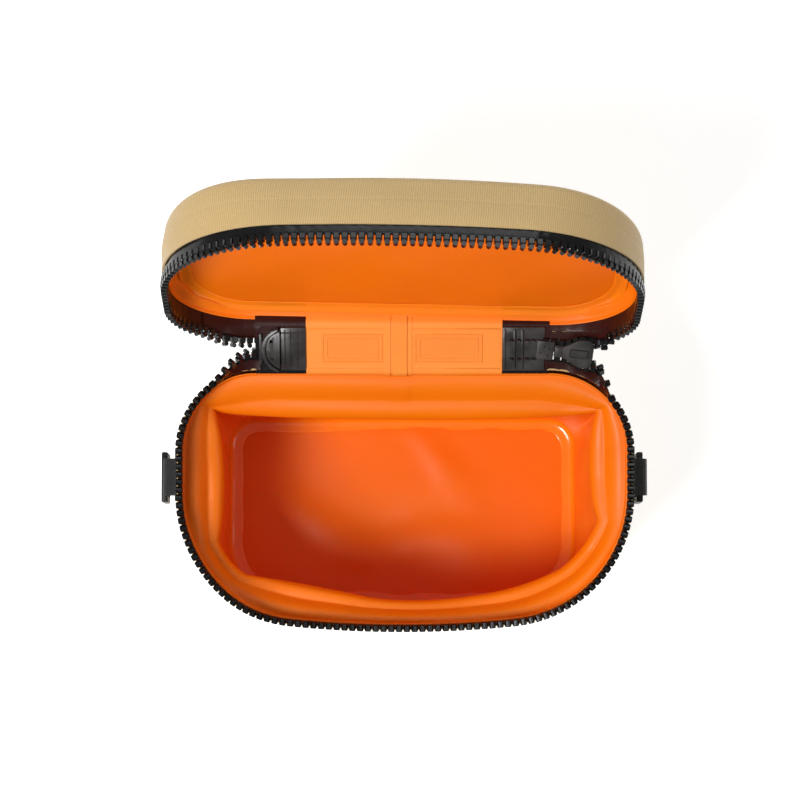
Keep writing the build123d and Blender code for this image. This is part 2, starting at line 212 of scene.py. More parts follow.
def opened(name, share=1.0):
    joint = JOINTS[name]
    place = Vector(joint["pos_m"]) / MM
    return about(place, joint["axis"], -radians(joint["range_deg"][0]) * share)


STRIP = opened("strip_fold")
LID = opened("lid_fold") @ STRIP


def row_share(x):
    """How far a zip row at x has turned on to the strip, from 0 to 1."""
    return 1 - smooth((abs(x) - ROW_HELD) / (ROW_FREE - ROW_HELD))


def body_place(p, on_strip=0.0):
    p = pressed(p)
    return opened("strip_fold", on_strip) @ p if on_strip else p


def lid_place(p, on_strip=0.0):
    return opened("lid_fold", 1 - on_strip) @ STRIP @ Vector(p)


# ---- Mesh helpers -------------------------------------------------------------------------------
def clear():
    if bpy.context.object and bpy.context.object.mode != "OBJECT":
        bpy.ops.object.mode_set(mode="OBJECT")
    bpy.ops.object.select_all(action="DESELECT")


def make_active(obj):
    clear()
    obj.select_set(True)
    bpy.context.view_layer.objects.active = obj
    return obj


def new_mesh(name, vertices, faces, uvs=None):
    """A mesh from points in mm. uvs holds one pair in mm for each face corner."""
    mesh = bpy.data.meshes.new(name)
    mesh.from_pydata([Vector(v) * MM for v in vertices], [], faces)
    if uvs is not None:
        layer = mesh.uv_layers.new(name="UVMap")
        layer.data.foreach_set("uv", np.asarray(uvs, float).ravel() * MM)
    mesh.update()
    obj = bpy.data.objects.new(name + "_look", mesh)
    bpy.context.scene.collection.objects.link(obj)
    return obj


def sheet_of(name, rows, closed=True, flip=False, cap=False):
    """A sheet of fabric through rows of points. Its UV map follows the cloth, in metres."""
    count = len(rows[0])
    vertices = [p for row in rows for p in row]
    points = np.array([[tuple(p) for p in row] for row in rows])
    middle = points[len(rows) // 2]
    ends = np.vstack([middle, middle[:1]]) if closed else middle
    run = np.concatenate([[0], np.cumsum(np.linalg.norm(np.diff(ends, axis=0), axis=1))])
    down = np.concatenate([[0], np.cumsum(np.linalg.norm(np.diff(points, axis=0), axis=2).mean(axis=1))])
    faces, uvs = [], []
    for r in range(len(rows) - 1):
        for c in range(count if closed else count - 1):
            d = (c + 1) % count
            corners = [(r, c, c), (r, d, c + 1), (r + 1, d, c + 1), (r + 1, c, c)]
            if flip:
                corners.reverse()
            faces.append([a * count + b for a, b, _ in corners])
            uvs += [(run[u], down[a]) for a, _, u in corners]
    if cap:
        hub = len(vertices)
        vertices.append(sum((Vector(p) for p in rows[-1]), Vector()) / count)
        for c in range(count):
            corners = [(len(rows) - 1) * count + c, (len(rows) - 1) * count + (c + 1) % count, hub]
            corners = corners[::-1] if flip else corners
            faces.append(corners)
            uvs += [(vertices[k][0], vertices[k][1]) for k in corners]
    return new_mesh(name, vertices, faces, uvs)


def face_outwards(obj):
    make_active(obj)
    bpy.ops.object.mode_set(mode="EDIT")
    bpy.ops.mesh.select_all(action="SELECT")
    bpy.ops.mesh.normals_make_consistent(inside=False)
    bpy.ops.object.mode_set(mode="OBJECT")


def apply_modifier(obj, kind, **settings):
    make_active(obj)
    modifier = obj.modifiers.new(kind.title(), kind)
    for key, value in settings.items():
        setattr(modifier, key, value)
    bpy.ops.object.modifier_apply(modifier=modifier.name)
    return obj


def lay_flat(obj, back_mm):
    """Gives a level panel an even map, read in the shut bag's plan: back_mm turns the piece back to it."""
    layer = obj.data.uv_layers[0]
    for loop in obj.data.loops:
        flat = back_mm @ (obj.data.vertices[loop.vertex_index].co / MM)
        layer.data[loop.index].uv = (flat.x * MM, flat.y * MM)


def round_edges(obj, millimetres, segments, angle):
    limits = {"limit_method": "ANGLE", "angle_limit": radians(angle)}
    return apply_modifier(obj, "BEVEL", width=millimetres * MM, segments=segments, **limits)


def thicken(obj, millimetres, offset=-1.0):
    return apply_modifier(obj, "SOLIDIFY", thickness=millimetres * MM, offset=offset, use_even_offset=False)


def finer(obj):
    return apply_modifier(obj, "SUBSURF", levels=1, render_levels=1)


def shade(obj, angle=40):
    make_active(obj)
    bpy.ops.object.shade_smooth_by_angle(angle=radians(angle))
    return obj


def paint(obj, *names):
    obj.data.materials.clear()
    for name in names:
        obj.data.materials.append(material(name))
    return obj


def dress(obj, finish, angle=40):
    return paint(shade(obj, angle), finish)


def rounded_box(low, high, radius, segments=2):
    """A box from corner to corner in mm, with rounded edges, made at its place in the shut bag's rim axes."""
    low, high = Vector(low), Vector(high)
    clear()
    bpy.ops.mesh.primitive_cube_add(size=1, location=(low + high) / 2 * MM)
    obj = bpy.context.object
    obj.scale = (high - low) * MM
    bpy.ops.object.transform_apply(location=True, rotation=False, scale=True)
    if radius:
        bpy.ops.object.mode_set(mode="EDIT")
        bpy.ops.mesh.select_all(action="SELECT")
        bpy.ops.mesh.bevel(offset=radius * MM, segments=segments, affect="EDGES")
        bpy.ops.object.mode_set(mode="OBJECT")
    return obj


def tube(centre, axis, radius, depth, vertices=16, bevel=0.0):
    """A cylinder in mm with its axis along X, Y or Z."""
    turn = {"X": (0, pi / 2, 0), "Y": (pi / 2, 0, 0), "Z": (0, 0, 0)}[axis]
    clear()
    bpy.ops.mesh.primitive_cylinder_add(
        vertices=vertices, radius=radius * MM, depth=depth * MM, location=Vector(centre) * MM, rotation=turn
    )
    obj = bpy.context.object
    bpy.ops.object.transform_apply(location=True, rotation=True, scale=True)
    if bevel:
        round_edges(obj, bevel, 2, 50)
    return obj


def join(name, objects):
    clear()
    for obj in objects:
        obj.select_set(True)
    bpy.context.view_layer.objects.active = objects[0]
    if len(objects) > 1:
        bpy.ops.object.join()
    obj = bpy.context.object
    obj.name = obj.data.name = name + "_look"
    return obj


def cut(obj, *tools):
    for tool in tools:
        make_active(obj)
        modifier = obj.modifiers.new("Cut", "BOOLEAN")
        modifier.operation = "DIFFERENCE"
        modifier.solver = "EXACT"
        modifier.object = tool
        bpy.ops.object.modifier_apply(modifier=modifier.name)
        bpy.data.objects.remove(tool)
    return obj


def move_mesh(obj, matrix_mm):
    """Applies a placing that is given in mm to the mesh itself."""
    m = matrix_mm.copy()
    m.translation = m.translation * MM
    obj.data.transform(m)
    obj.data.update()
    return obj


def rim_matrix():
    """From (x, in, up) beside the zip's middle at the back to the shut bag."""
    m = Matrix.Rotation(RIM_SLOPE, 4, "X")
    m.translation = in_rim(0, RIM[1], 0)
    return m


def finish_piece(obj, body, replaced=()):
    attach(obj, body)
    if replaced:
        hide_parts(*replaced)
    return obj


# ---- Materials ----------------------------------------------------------------------------------
class Graph:
    """A small helper to write a material's nodes."""

    def __init__(self, name):
        self.material = bpy.data.materials.new(name)
        self.material.use_nodes = True
        self.tree = self.material.node_tree
        self.shader = self.tree.nodes["Principled BSDF"]

    def set(self, **values):
        for key, value in values.items():
            self.shader.inputs[key.replace("_", " ")].default_value = value

    def add(self, kind, inputs=None, **settings):
        node = self.tree.nodes.new("ShaderNode" + kind)
        for key, value in settings.items():
            setattr(node, key, value)
        for key, value in (inputs or {}).items():
            if isinstance(value, bpy.types.NodeSocket):
                self.tree.links.new(value, node.inputs[key])
            else:
                node.inputs[key].default_value = value
        return node

    def to(self, socket, name):
        self.tree.links.new(socket, self.shader.inputs[name])

    def noise(self, vector, scale, detail=3.0, rough=0.5):
        inputs = {"Vector": vector, "Scale": scale, "Detail": detail, "Roughness": rough}
        return self.add("TexNoise", inputs).outputs["Fac"]

    def ribs(self, vector, pitch, turn=0.0, distortion=0.0):
        """Parallel ribs that far apart, turned in the cloth's plane."""
        mapped = self.add("Mapping", {"Vector": vector, "Rotation": (0, 0, turn)}).outputs["Vector"]
        # A Wave texture repeats every 2 pi / 20 units at scale 1.
        inputs = {"Vector": mapped, "Scale": 2 * pi / 20 / pitch, "Distortion": distortion}
        inputs |= {"Detail": 1.0, "Detail Scale": 2.0}
        return self.add("TexWave", inputs, bands_direction="X").outputs["Fac"]

    def span(self, socket, low, high, a=0.0, b=1.0):
        inputs = {"Value": socket, "From Min": a, "From Max": b, "To Min": low, "To Max": high}
        return self.add("MapRange", inputs).outputs["Result"]

    def math(self, operation, a, b=0.0):
        return self.add("Math", {0: a, 1: b}, operation=operation).outputs[0]

    def mix(self, factor, a, b):
        return self.add("MixRGB", {"Fac": factor, "Color1": a, "Color2": b}).outputs[0]

    def bump(self, height, strength, distance, normal=None):
        inputs = {"Height": height, "Strength": strength, "Distance": distance}
        if normal is not None:
            inputs["Normal"] = normal
        return self.add("Bump", inputs).outputs["Normal"]


def rgba(value, factor=1.0):
    return (*[min(c * factor, 1.0) for c in value], 1.0)


def sand_fabric():
    """Coated nylon with a fine twill, paler where the ribs stand up."""
    g = Graph("sand_twill")
    uv = g.add("TexCoord").outputs["UV"]
    pitch = sizes().weave_pitch
    twill = g.ribs(uv, pitch, radians(6), 1.0)
    cross = g.ribs(uv, pitch * 0.8, radians(94), 0.8)
    grain = g.noise(uv, 900, 2)
    patches = g.noise(uv, 22, 4, 0.6)
    base = colours().sand
    tone = g.mix(g.span(twill, 0.0, 1.0, 0.2, 0.8), rgba(base, 0.80), rgba(base, 1.10))
    tone = g.mix(g.span(patches, 0.0, 0.35, 0.35, 0.75), tone, rgba((base[0] * 0.84, base[1] * 0.82, base[2] * 0.76)))
    tone = g.mix(g.span(grain, 0.0, 0.25, 0.3, 0.7), tone, rgba(base, 1.25))
    g.to(tone, "Base Color")
    g.to(g.span(patches, 0.58, 0.72), "Roughness")
    height = g.math("ADD", g.math("MULTIPLY", twill, 0.7), g.math("MULTIPLY", cross, 0.4))
    weave = g.bump(height, 0.55, 0.00022)
    g.to(g.bump(g.noise(uv, 45, 3), 0.25, 0.0012, weave), "Normal")
    g.set(Sheen_Weight=0.25, Sheen_Roughness=0.45, Specular_IOR_Level=0.35)
    return g.material


def lining(name="orange_lining", rough=(0.36, 0.50), weave=0.45, base=None):
    """Coated lining: a smooth half-gloss film over a fine weave."""
    g = Graph(name)
    uv = g.add("TexCoord").outputs["UV"]
    place = g.add("TexCoord").outputs["Object"]
    pitch = sizes().lining_pitch
    diagonal = g.ribs(uv, pitch, radians(48), 0.6)
    across = g.ribs(uv, pitch, radians(-42), 0.6)
    patches = g.noise(place, 26, 3, 0.55)
    base = base or colours().orange
    tone = g.mix(g.span(patches, 0.0, 0.5, 0.35, 0.7), rgba(base), rgba((base[0], base[1] * 0.86, base[2])))
    thread = g.math("MULTIPLY", diagonal, across)
    tone = g.mix(g.span(thread, 0.0, 0.34), tone, rgba((1.0, base[1] * 1.6, base[2] * 1.5)))
    g.to(tone, "Base Color")
    g.to(g.span(patches, *rough, 0.3, 0.7), "Roughness")
    fine = g.bump(thread, weave, 0.00012)
    g.to(g.bump(g.noise(place, 55, 2), 0.16, 0.0018, fine), "Normal")
    g.set(Coat_Weight=0.08, Coat_Roughness=0.28, Specular_IOR_Level=0.32)
    return g.material


def clear_tape(name="welded_tape", paler=0.0):
    """Welded tape over the lining: the same orange, glossier, with a faint press pattern."""
    g = Graph(name)
    place = g.add("TexCoord").outputs["Object"]
    patches = g.noise(place, 60, 3)
    base = colours().orange
    light = rgba((1.0, 0.24 + paler, 0.006 + paler / 2))
    deep = rgba((base[0], base[1] * 1.1 + paler, base[2] + 0.004 + paler / 2))
    g.to(g.mix(patches, light, deep), "Base Color")
    g.to(g.span(patches, 0.10, 0.26), "Roughness")
    g.to(g.bump(g.noise(place, 130, 2), 0.22, 0.0008), "Normal")
    g.set(Coat_Weight=0.35, Coat_Roughness=0.08)
    return g.material


def black_plastic(name, base, rough=(0.28, 0.45), grain=700.0, bump=0.12):
    """Moulded plastic with a fine grain and dull and shiny places."""
    g = Graph(name)
    place = g.add("TexCoord").outputs["Object"]
    patches = g.noise(place, 90, 3)
    g.to(g.mix(g.span(patches, 0.0, 1.0, 0.35, 0.7), rgba(base), rgba([c * 1.9 + 0.004 for c in base])), "Base Color")
    g.to(g.span(patches, *rough, 0.3, 0.7), "Roughness")
    g.to(g.bump(g.noise(place, grain, 2), bump, 0.0002), "Normal")
    g.set(Specular_IOR_Level=0.35)
    return g.material


def zip_tape_face(name, base, rough):
    """Coated zip tape: a herringbone that shows faintly through the film."""
    g = Graph(name)
    uv = g.add("TexCoord").outputs["UV"]
    place = g.add("TexCoord").outputs["Object"]
    knit = g.ribs(uv, 0.0011, radians(35), 1.5)
    patches = g.noise(place, 70, 3)
    g.to(g.mix(knit, rgba(base), rgba([c * 1.7 for c in base])), "Base Color")
    g.to(g.span(patches, *rough, 0.3, 0.7), "Roughness")
    first = g.bump(knit, 0.25, 0.0002)
    g.to(g.bump(g.noise(place, 120, 2), 0.3, 0.0009, first), "Normal")
    g.set(Coat_Weight=0.08, Coat_Roughness=0.12, Specular_IOR_Level=0.2)
    return g.material


def webbing():
    """Woven webbing: ribs across the strap and a herringbone along it."""
    g = Graph("woven_webbing")
    uv = g.add("TexCoord").outputs["UV"]
    ribs = g.ribs(uv, 0.0012, 0.0, 0.4)
    cords = g.ribs(uv, 0.0016, radians(90), 0.3)
    fuzz = g.noise(uv, 1500, 2)
    base = colours().black
    g.to(g.mix(g.math("MULTIPLY", ribs, fuzz), rgba(base), rgba([c * 4 for c in base])), "Base Color")
    g.to(g.span(fuzz, 0.7, 0.9), "Roughness")
    g.to(g.bump(g.math("ADD", ribs, cords), 0.6, 0.0003), "Normal")
    g.set(Sheen_Weight=0.3)
    return g.material


def blackened_steel():
    g = Graph("blackened_steel")
    place = g.add("TexCoord").outputs["Object"]
    marks = g.noise(place, 400, 4)
    g.to(g.mix(marks, (0.10, 0.10, 0.105, 1), (0.20, 0.20, 0.21, 1)), "Base Color")
    g.to(g.span(marks, 0.25, 0.45), "Roughness")
    g.set(Metallic=1.0)
    return g.material


def studio_floor():
    g = Graph("pale_floor")
    place = g.add("TexCoord").outputs["Object"]
    fine = g.noise(place, 40, 3)
    g.to(g.mix(fine, (0.90, 0.90, 0.90, 1), (0.92, 0.92, 0.92, 1)), "Base Color")
    g.set(Roughness=0.9, Specular_IOR_Level=0.1, Emission_Strength=0.52)
    g.shader.inputs["Emission Color"].default_value = (1, 1, 1, 1)
    return g.material


MATERIALS = {}


def material(name):
    """Each finish is made once."""
    makers = {
        "sand": sand_fabric,
        "lining": lining,
        "hinge_lining": lambda: lining("orange_hinge_lining", (0.42, 0.55), 0.5, (1.0, 0.29, 0.035)),
        # A darker copy of the orange lining: painted shade for the deep compartment floor and the lid's ceiling.
        "floor_lining": lambda: lining("orange_lining_painted_shade", (0.30, 0.42), 0.3, (0.84, 0.158, 0.0005)),
        "tape": clear_tape,
        "hinge_tape": lambda: clear_tape("welded_hinge_tape", 0.08),
        "teeth": lambda: black_plastic("moulded_teeth", [c * 0.6 for c in colours().black], (0.14, 0.26), 700, 0.1),
        "dock": lambda: black_plastic("soft_moulded_dock", colours().grey, (0.18, 0.40), 320, 0.35),
        "slider": lambda: black_plastic("moulded_slider", colours().grey, (0.38, 0.5), 900, 0.2),
        "ring": lambda: black_plastic("moulded_ring", colours().black, (0.35, 0.5)),
        "rubber": lambda: black_plastic("soft_grip", colours().black, (0.5, 0.65), 1200, 0.3),
        "base": lambda: black_plastic("coated_base", colours().black, (0.45, 0.6), 1300, 0.5),
        "tape_out": lambda: zip_tape_face("zip_tape_outside", colours().black, (0.16, 0.3)),
        # The black tape's inner face in dark red: a painted reflection of the orange lining.
        "tape_inside_painted_reflection": lambda: zip_tape_face("zip_tape_inside_painted_reflection", colours().tape_inside_reflection_red, (0.3, 0.5)),
        "webbing": webbing,
        "steel": blackened_steel,
        "floor": studio_floor,
    }
    if name not in MATERIALS:
        MATERIALS[name] = makers[name]()
    return MATERIALS[name]


# ---- Body ---------------------------------------------------------------------------------------
def wall_rows(stations, place=pressed):
    """Rows of points round the bag. Each station is (outline, grow, height function)."""
    angles = column_angles()
    rows = []
    for shape, grow, height in stations:
        plan = around(shape, grow, angles)
        rows.append([place(height(x, y)) for x, y in plan])
    return rows


def level(z):
    return lambda x, y: Vector((x, y, z))


def parallel(up):
    return lambda x, y: in_rim(x, y, up)


def between(a, b, t):
    return [p.lerp(q, t) for p, q in zip(a, b)]


def blend_rows(a, b, shares):
    return [between(a, b, t) for t in shares]


def cut_away(obj, keep):
    """Deletes the faces whose middle fails the test, which is given a point in mm."""
    make_active(obj)
    bpy.ops.object.mode_set(mode="EDIT")
    bpy.ops.mesh.select_mode(type="FACE")
    bpy.ops.mesh.select_all(action="DESELECT")
    bpy.ops.object.mode_set(mode="OBJECT")
    for polygon in obj.data.polygons:
        polygon.select = not keep(polygon.center / MM)
    bpy.ops.object.mode_set(mode="EDIT")
    bpy.ops.mesh.delete(type="FACE")
    bpy.ops.object.mode_set(mode="OBJECT")
    return obj


def soft_noise(x, y, z=0.0):
    """A smooth wander between -1 and 1, the same every time."""
    return (sin(x * 0.071 + 1.3) * cos(y * 0.083 - z * 0.05 + 0.4) + sin(x * 0.033 - y * 0.041 + z * 0.061)) / 2


def body_shell():
    foot = wall_rows([(BASE, -5.0, level(0.2)), (BASE, -1.4, level(1.4)), (BASE, 0.0, level(5.0))])
    base = wall_rows([(BASE, 0.0, level(5.0))])[0]
    waist = wall_rows([(WAIST, 0.0, level(62.0))])[0]
    top = wall_rows([(RIM, SHELL_OUT, parallel(-24.0))])[0]
    edge = wall_rows([(RIM, SHELL_OUT, parallel(-SHELL_EDGE))])[0]
    rows = foot[:2] + blend_rows(base, waist, [0, 0.08, 0.2, 0.35, 0.5, 0.65, 0.8, 0.92])
    rows += blend_rows(waist, top, [0, 0.1, 0.25, 0.4, 0.55, 0.7, 0.85])
    rows += blend_rows(top, edge, [0, 0.35, 0.7, 0.92, 1])
    for row in rows[2:-5]:
        for k, p in enumerate(row):
            out = Vector((p.x, p.y * 1.6, 0)).normalized()
            belly = sin(pi * min(max(p.z / 110, 0), 1))
            wrinkle = soft_noise(p.x * 1.6, p.y * 1.6, p.z * 1.8)
            row[k] = p + out * (0.9 * belly * wrinkle - 0.5 * belly)
    obj = sheet_of("body_shell", rows)
    strip_gap = in_rim(0, 69, -FOLD - 0.4).z
    cut_away(obj, lambda p: not (p.y > 55 and abs(p.x) < 79 and p.z > strip_gap - 0.6))
    finer(obj)
    thicken(obj, FABRIC)
    dress(obj, "sand", 60)
    return finish_piece(obj, "body", ["body_shell"])


def base_panel():
    steps = ((-5.6, 0.0), (-1.1, 1.2), (0.25, 5.0), (0.5, 7.0))
    rim = wall_rows([(BASE, grow, level(z)) for grow, z in steps])
    inner = [[Vector((p.x * share, p.y * share, 0)) for p in rim[0]] for share in (0.8, 0.5, 0.1)]
    obj = sheet_of("base_panel", rim[::-1] + inner, flip=True, cap=True)
    thicken(obj, 0.6)
    dress(obj, "base", 50)
    return finish_piece(obj, "body", ["base_panel"])


def back_seam():
    """A welded strip down the middle of the back, outside."""
    rows = []
    for z in np.linspace(8, 118, 18):
        share = (z - 62) / 55 if z > 62 else (z - 5) / 57
        y = 61.5 + 6.1 * share if z <= 62 else 67.6 + 2.6 * share
        rows.append([Vector((x, y + 0.35 - (0.25 if abs(x) > 6 else 0), z)) for x in (-7.2, -6.6, -3, 0, 3, 6.6, 7.2)])
    obj = sheet_of("body_back_seam", rows, closed=False, flip=True)
    thicken(obj, 0.5)
    dress(obj, "sand")
    return finish_piece(obj, "body")


# ---- Lining of the body -------------------------------------------------------------------------
# The crest is where the slack lining folds over into the compartment. Each row is a point in mm, how far
# the cloth hangs inwards before the next point, how blunt that curve is, and how sharp the fold is here.
CREST = [
    ((107.2, 48.5), 6.0, 0.42, 1.0),
    ((-106.0, 49.5), 4.8, 0.8, 1.0),
    ((-103.2, -23.5), -2.2, 1.0, 1.0),
    ((-86.0, -43.0), 0.6, 1.0, 1.0),
    ((-18.0, -55.6), -2.4, 1.0, 0.2),
    ((42.8, -54.0), -2.0, 1.0, 0.0),
    ((86.7, -40.0), -0.8, 1.0, 0.0),
    ((100.5, -26.0), -0.4, 1.0, 0.0),
    ((107.8, -12.0), 4.4, 0.8, 1.0),
]


def crest_at(angle):
    """(x, y, nearness to a fold point) of the crest in a direction from the middle."""
    for k, ((ax, ay), sag, power, fold) in enumerate(CREST):
        (bx, by), _, _, next_fold = CREST[(k + 1) % len(CREST)]
        start = atan2(ay, ax)
        along = (angle - start) % (2 * pi)
        if along > (atan2(by, bx) - start) % (2 * pi):
            continue
        ux, uy = cos(angle), sin(angle)
        dx, dy = bx - ax, by - ay
        t = (ax * uy - ay * ux) / (dy * ux - dx * uy)
        t = min(max(t, 0.0), 1.0)
        length = hypot(dx, dy)
        bulge = sag * (4 * t * (1 - t)) ** power
        near = max(fold * (1 - t * length / 22), next_fold * (1 - (1 - t) * length / 22), 0.0)
        return ax + dx * t - dy / length * bulge, ay + dy * t + dx / length * bulge, near
    return 0.0, 0.0, 0.0


def lining_column(angle, top, foot_point):
    """The slack lining's line from the zip tape down to the floor, in one direction from the middle."""
    tx, ty = top
    fx, fy = foot_point
    cx, cy, near = crest_at(angle)
    back = smooth((ty - 40) / 22)
    crest = in_rim(cx, cy, -31.0 + 4.0 * near - 2.0 * back)
    tape = in_rim(tx, ty, -LINING_EDGE)
    low_tape = in_rim(tx * 0.994, ty * 0.992, -19.0)
    inward = Vector((crest.x - low_tape.x, crest.y - low_tape.y, 0)).normalized()
    up = Vector((0, 0, 1))
    roll = 1.8 - 0.9 * near + 0.6 * soft_noise(tx * 1.3, ty * 1.3)
    column = [tape, tape.lerp(low_tape, 0.5), low_tape]
    lifts = ((0.10, 1.0), (0.24, 1.9), (0.38, 1.6), (0.50, 0.6), (0.58, -0.35), (0.66, 0.3), (0.78, 1.1), (0.90, 1.2))
    column += [low_tape.lerp(crest, share) + up * lift * roll for share, lift in lifts]
    tuck = 3.0 * (1 - near) + 0.4
    under = crest - up * 8.5 - inward * tuck
    column += [crest + up * 0.5 - inward * 0.4, crest - up * 0.9, crest - up * 3.0 - inward * tuck * 0.5, under]
    foot = Vector((fx, fy, 13.0))
    for share in (0.15, 0.32, 0.5, 0.68, 0.85):
        p = under.lerp(foot, share)
        slack = 1.3 * soft_noise(p.x * 2.1 + 9, p.y * 2.3, p.z * 1.1) - 1.6 * near
        column.append(p + inward * slack * sin(pi * share))
    middle = Vector((-fx, -fy, 0)).normalized()
    edge = Vector((fx, fy, 0))
    column += [foot, edge + middle * 0.4 + up * 8.0, edge + middle * 1.6 + up * 5.9, edge + middle * 4.5 + up * 5.2]
    return [pressed(p) for p in column]


def body_lining():
    """Rim band, hanging flap and wall as one slack sheet, from the zip tape down to the floor."""
    angles = column_angles()
    tops, feet = around(RIM, -0.8, angles), around(FLOOR, 0.0, angles)
    columns = [lining_column(a, tops[k], feet[k]) for k, a in enumerate(angles)]
    obj = sheet_of("body_lining", [list(row) for row in zip(*columns)], flip=True)
    finer(obj)
    thicken(obj, LINING)
    dress(obj, "lining", 180)
    finish_piece(obj, "body", ["wall_lining", "rim_lining", "wall_foam"])

    # The centre seam's welded tape runs on down over the rim band and the wall.
    angles = np.linspace(atan2(68, 4.6), atan2(68, -8.4), 9)
    tops, feet = around(RIM, -1.5, angles), around(FLOOR, -0.6, angles)
    columns = [lining_column(a, tops[k], feet[k]) for k, a in enumerate(angles)]
    lift = Vector((0, -0.35, 0.35))
    columns = [[p + lift for p in column[:-3]] for column in columns]
    seam = sheet_of("body_centre_seam", [list(row) for row in zip(*columns)], closed=False, flip=True)
    finer(seam)
    thicken(seam, 0.35)
    dress(seam, "lining", 60)
    return finish_piece(seam, "body")


DENTS = [  # (x, y, half length, half width, turn, height) of the soft swells in the floor, in mm
    (-38.0, -14.0, 34.0, 8.0, -38.0, 1.9),
    (20.0, -16.0, 30.0, 9.0, 12.0, 1.6),
    (26.0, 24.0, 26.0, 7.0, -52.0, 1.5),
    (-12.0, -8.0, 22.0, 9.0, 20.0, -1.4),
    (40.0, -24.0, 14.0, 16.0, 70.0, 1.4),
    (-62.0, 20.0, 30.0, 18.0, 80.0, -1.2),
    (60.0, 8.0, 34.0, 24.0, 0.0, 0.5),
    (-8.0, -34.0, 40.0, 10.0, 6.0, -1.2),
]


def swell(x, y):
    total = 0.0
    for cx, cy, long, wide, turn, height in DENTS:
        t = radians(turn)
        u = ((x - cx) * cos(t) + (y - cy) * sin(t)) / long
        v = (-(x - cx) * sin(t) + (y - cy) * cos(t)) / wide
        total += height * exp(-u * u - v * v)
    return total


def base_lining():
    angles = column_angles()
    edge = around(FLOOR, -2.0, angles)
    rows = []
    for share in (1.0, 0.97, 0.93, 0.88, 0.82, 0.75, 0.68, 0.60, 0.52, 0.44, 0.36, 0.28, 0.20, 0.12, 0.05, 0.015):
        calm = smooth((1 - share) / 0.14)
        rows.append([Vector((x * share, y * share, 5.3 + calm * (0.5 + swell(x * share, y * share)))) for x, y in edge])
    obj = sheet_of("base_lining", rows, flip=True, cap=True)
    lay_flat(obj, Matrix())
    thicken(obj, LINING)
    # The floor takes the darker copy of the lining: painted shade.
    dress(obj, "floor_lining", 180)
    return finish_piece(obj, "body", ["base_lining", "base_foam"])


def floor_tape():
    """The welded tape in the corner between wall and floor."""
    angles = column_angles()
    profile = [(0.6, 12.6), (-0.5, 12.4), (-0.75, 9.5), (-1.6, 7.3)]
    profile += [(-3.6, 6.35), (-6.2, 6.1), (-8.2, 6.15), (-8.6, 5.8)]
    rows = []
    for grow, z in profile:
        plan = around(FLOOR, grow, angles)
        rows.append([pressed(Vector((x, y, z + 0.12 * soft_noise(x * 6, y * 6)))) for x, y in plan])
    obj = sheet_of("floor_seam_tape", rows, flip=True)
    finer(obj)
    thicken(obj, 0.35)
    dress(obj, "tape", 70)
    return finish_piece(obj, "body", ["base_seam_tape"])


# ---- Zip rows -----------------------------------------------------------------------------------
def path_point(path, run, s):
    s = s % run[-1]
    x = np.interp(s, run, path[:, 0])
    y = np.interp(s, run, path[:, 1])
    e = 0.8
    dx = np.interp((s + e) % run[-1], run, path[:, 0]) - np.interp((s - e) % run[-1], run, path[:, 0])
    dy = np.interp((s + e) % run[-1], run, path[:, 1]) - np.interp((s - e) % run[-1], run, path[:, 1])
    along = Vector((dx, dy)).normalized()
    return float(x), float(y), along


def zone(x, y):
    """Which stretch of a row a point lies in: the free row, the left or right bend, or none."""
    if y < BACK or abs(x) >= ROW_FREE:
        return "row"
    if x <= -ROW_HELD + 2.5:
        return "left_bend"
    if x >= RIGHT_BEND:
        return "right_bend"
    return None


def right_pull(x):
    """Beyond the slider the rows run from its mouth out to the rim."""
    return smooth((ROW_FREE + 7 - x) / (ROW_FREE + 7 - SLIDER_END)) if x > 0 else 0.0


def in_rim_up():
    return in_rim(0, 0, 1) - in_rim(0, 0, 0)


def row_point(x, y, up, side):
    """Places a point of a row, side +1 for the lid and -1 for the body, in the open bag."""
    free = 1 - smooth((abs(up) - 6.5) / 8.5)
    share = row_share(x) if y > BACK else 0.0
    if x > 0 and y > BACK:
        pull = right_pull(x)
        share = pull * free
        pull *= 1 - smooth((abs(up) - 6.0) / 4.5)
        y = y + pull * (RIM[1] - 2.5 - y) * 0.9
        apart = smooth((x - 87) / 12)
        up += side * 3.6 * pull * apart
    if x < 0:
        share *= free
    p = in_rim(x, y, up)
    if x > 0 and y > BACK:
        p = p - ROW_DIP * max(0.0, x - DOCK_END) * share * in_rim_up()
    return lid_place(p, share) if side > 0 else body_place(p, share)


def one_tooth():
    """A moulded tooth: a block that grips the tape, a neck and a round head at its tip."""
    block = rounded_box((-1.75, -2.0, 2.9), (1.75, 2.0, 6.6), 0.5, 1)
    neck = rounded_box((-0.8, -1.35, 1.6), (0.8, 1.35, 3.2), 0.0)
    head = tube((0, 0, 1.6), "Y", 1.35, 3.1, 8, 0.0)
    return join("tooth", [block, neck, head])


def zip_teeth(side):
    """One row, in a stretch for each body that it follows."""
    path, run = rim_path()
    pitch = sizes().tooth_pitch / MM
    count = int(run[-1] / pitch)
    tooth = one_tooth()
    base = np.array([tuple(v.co / MM) for v in tooth.data.vertices])
    faces = [list(p.vertices) for p in tooth.data.polygons]
    bpy.data.objects.remove(tooth)
    made = {}
    for n in range(count):
        s = (n + (0.25 if side > 0 else 0.75)) * run[-1] / count
        x, y, along = path_point(path, run, s)
        where = zone(x, y)
        if where is None:
            continue
        out = Vector((along.y, -along.x))
        vertices, polygons = made.setdefault(where, ([], []))
        start = len(vertices)
        centre = row_point(x, y, 4.0 * side, side)
        ahead = (row_point(x + along.x, y + along.y, 4.0 * side, side) - centre).normalized()
        rise = row_point(x, y, 5.0 * side, side) - centre
        rise = (rise - ahead * rise.dot(ahead)).normalized()
        aside = ahead.cross(rise) * side
        for a, b, up in base:
            vertices.append(centre + ahead * a + aside * b + rise * (up - 4.0))
        polygons += [[start + v for v in f] for f in faces]
    name = "lid" if side > 0 else "body"
    pieces = {}
    for where, (vertices, polygons) in made.items():
        obj = new_mesh(f"{name}_teeth_{where}", vertices, polygons)
        face_outwards(obj)
        dress(obj, "teeth", 35)
        pieces[where] = obj
    return pieces


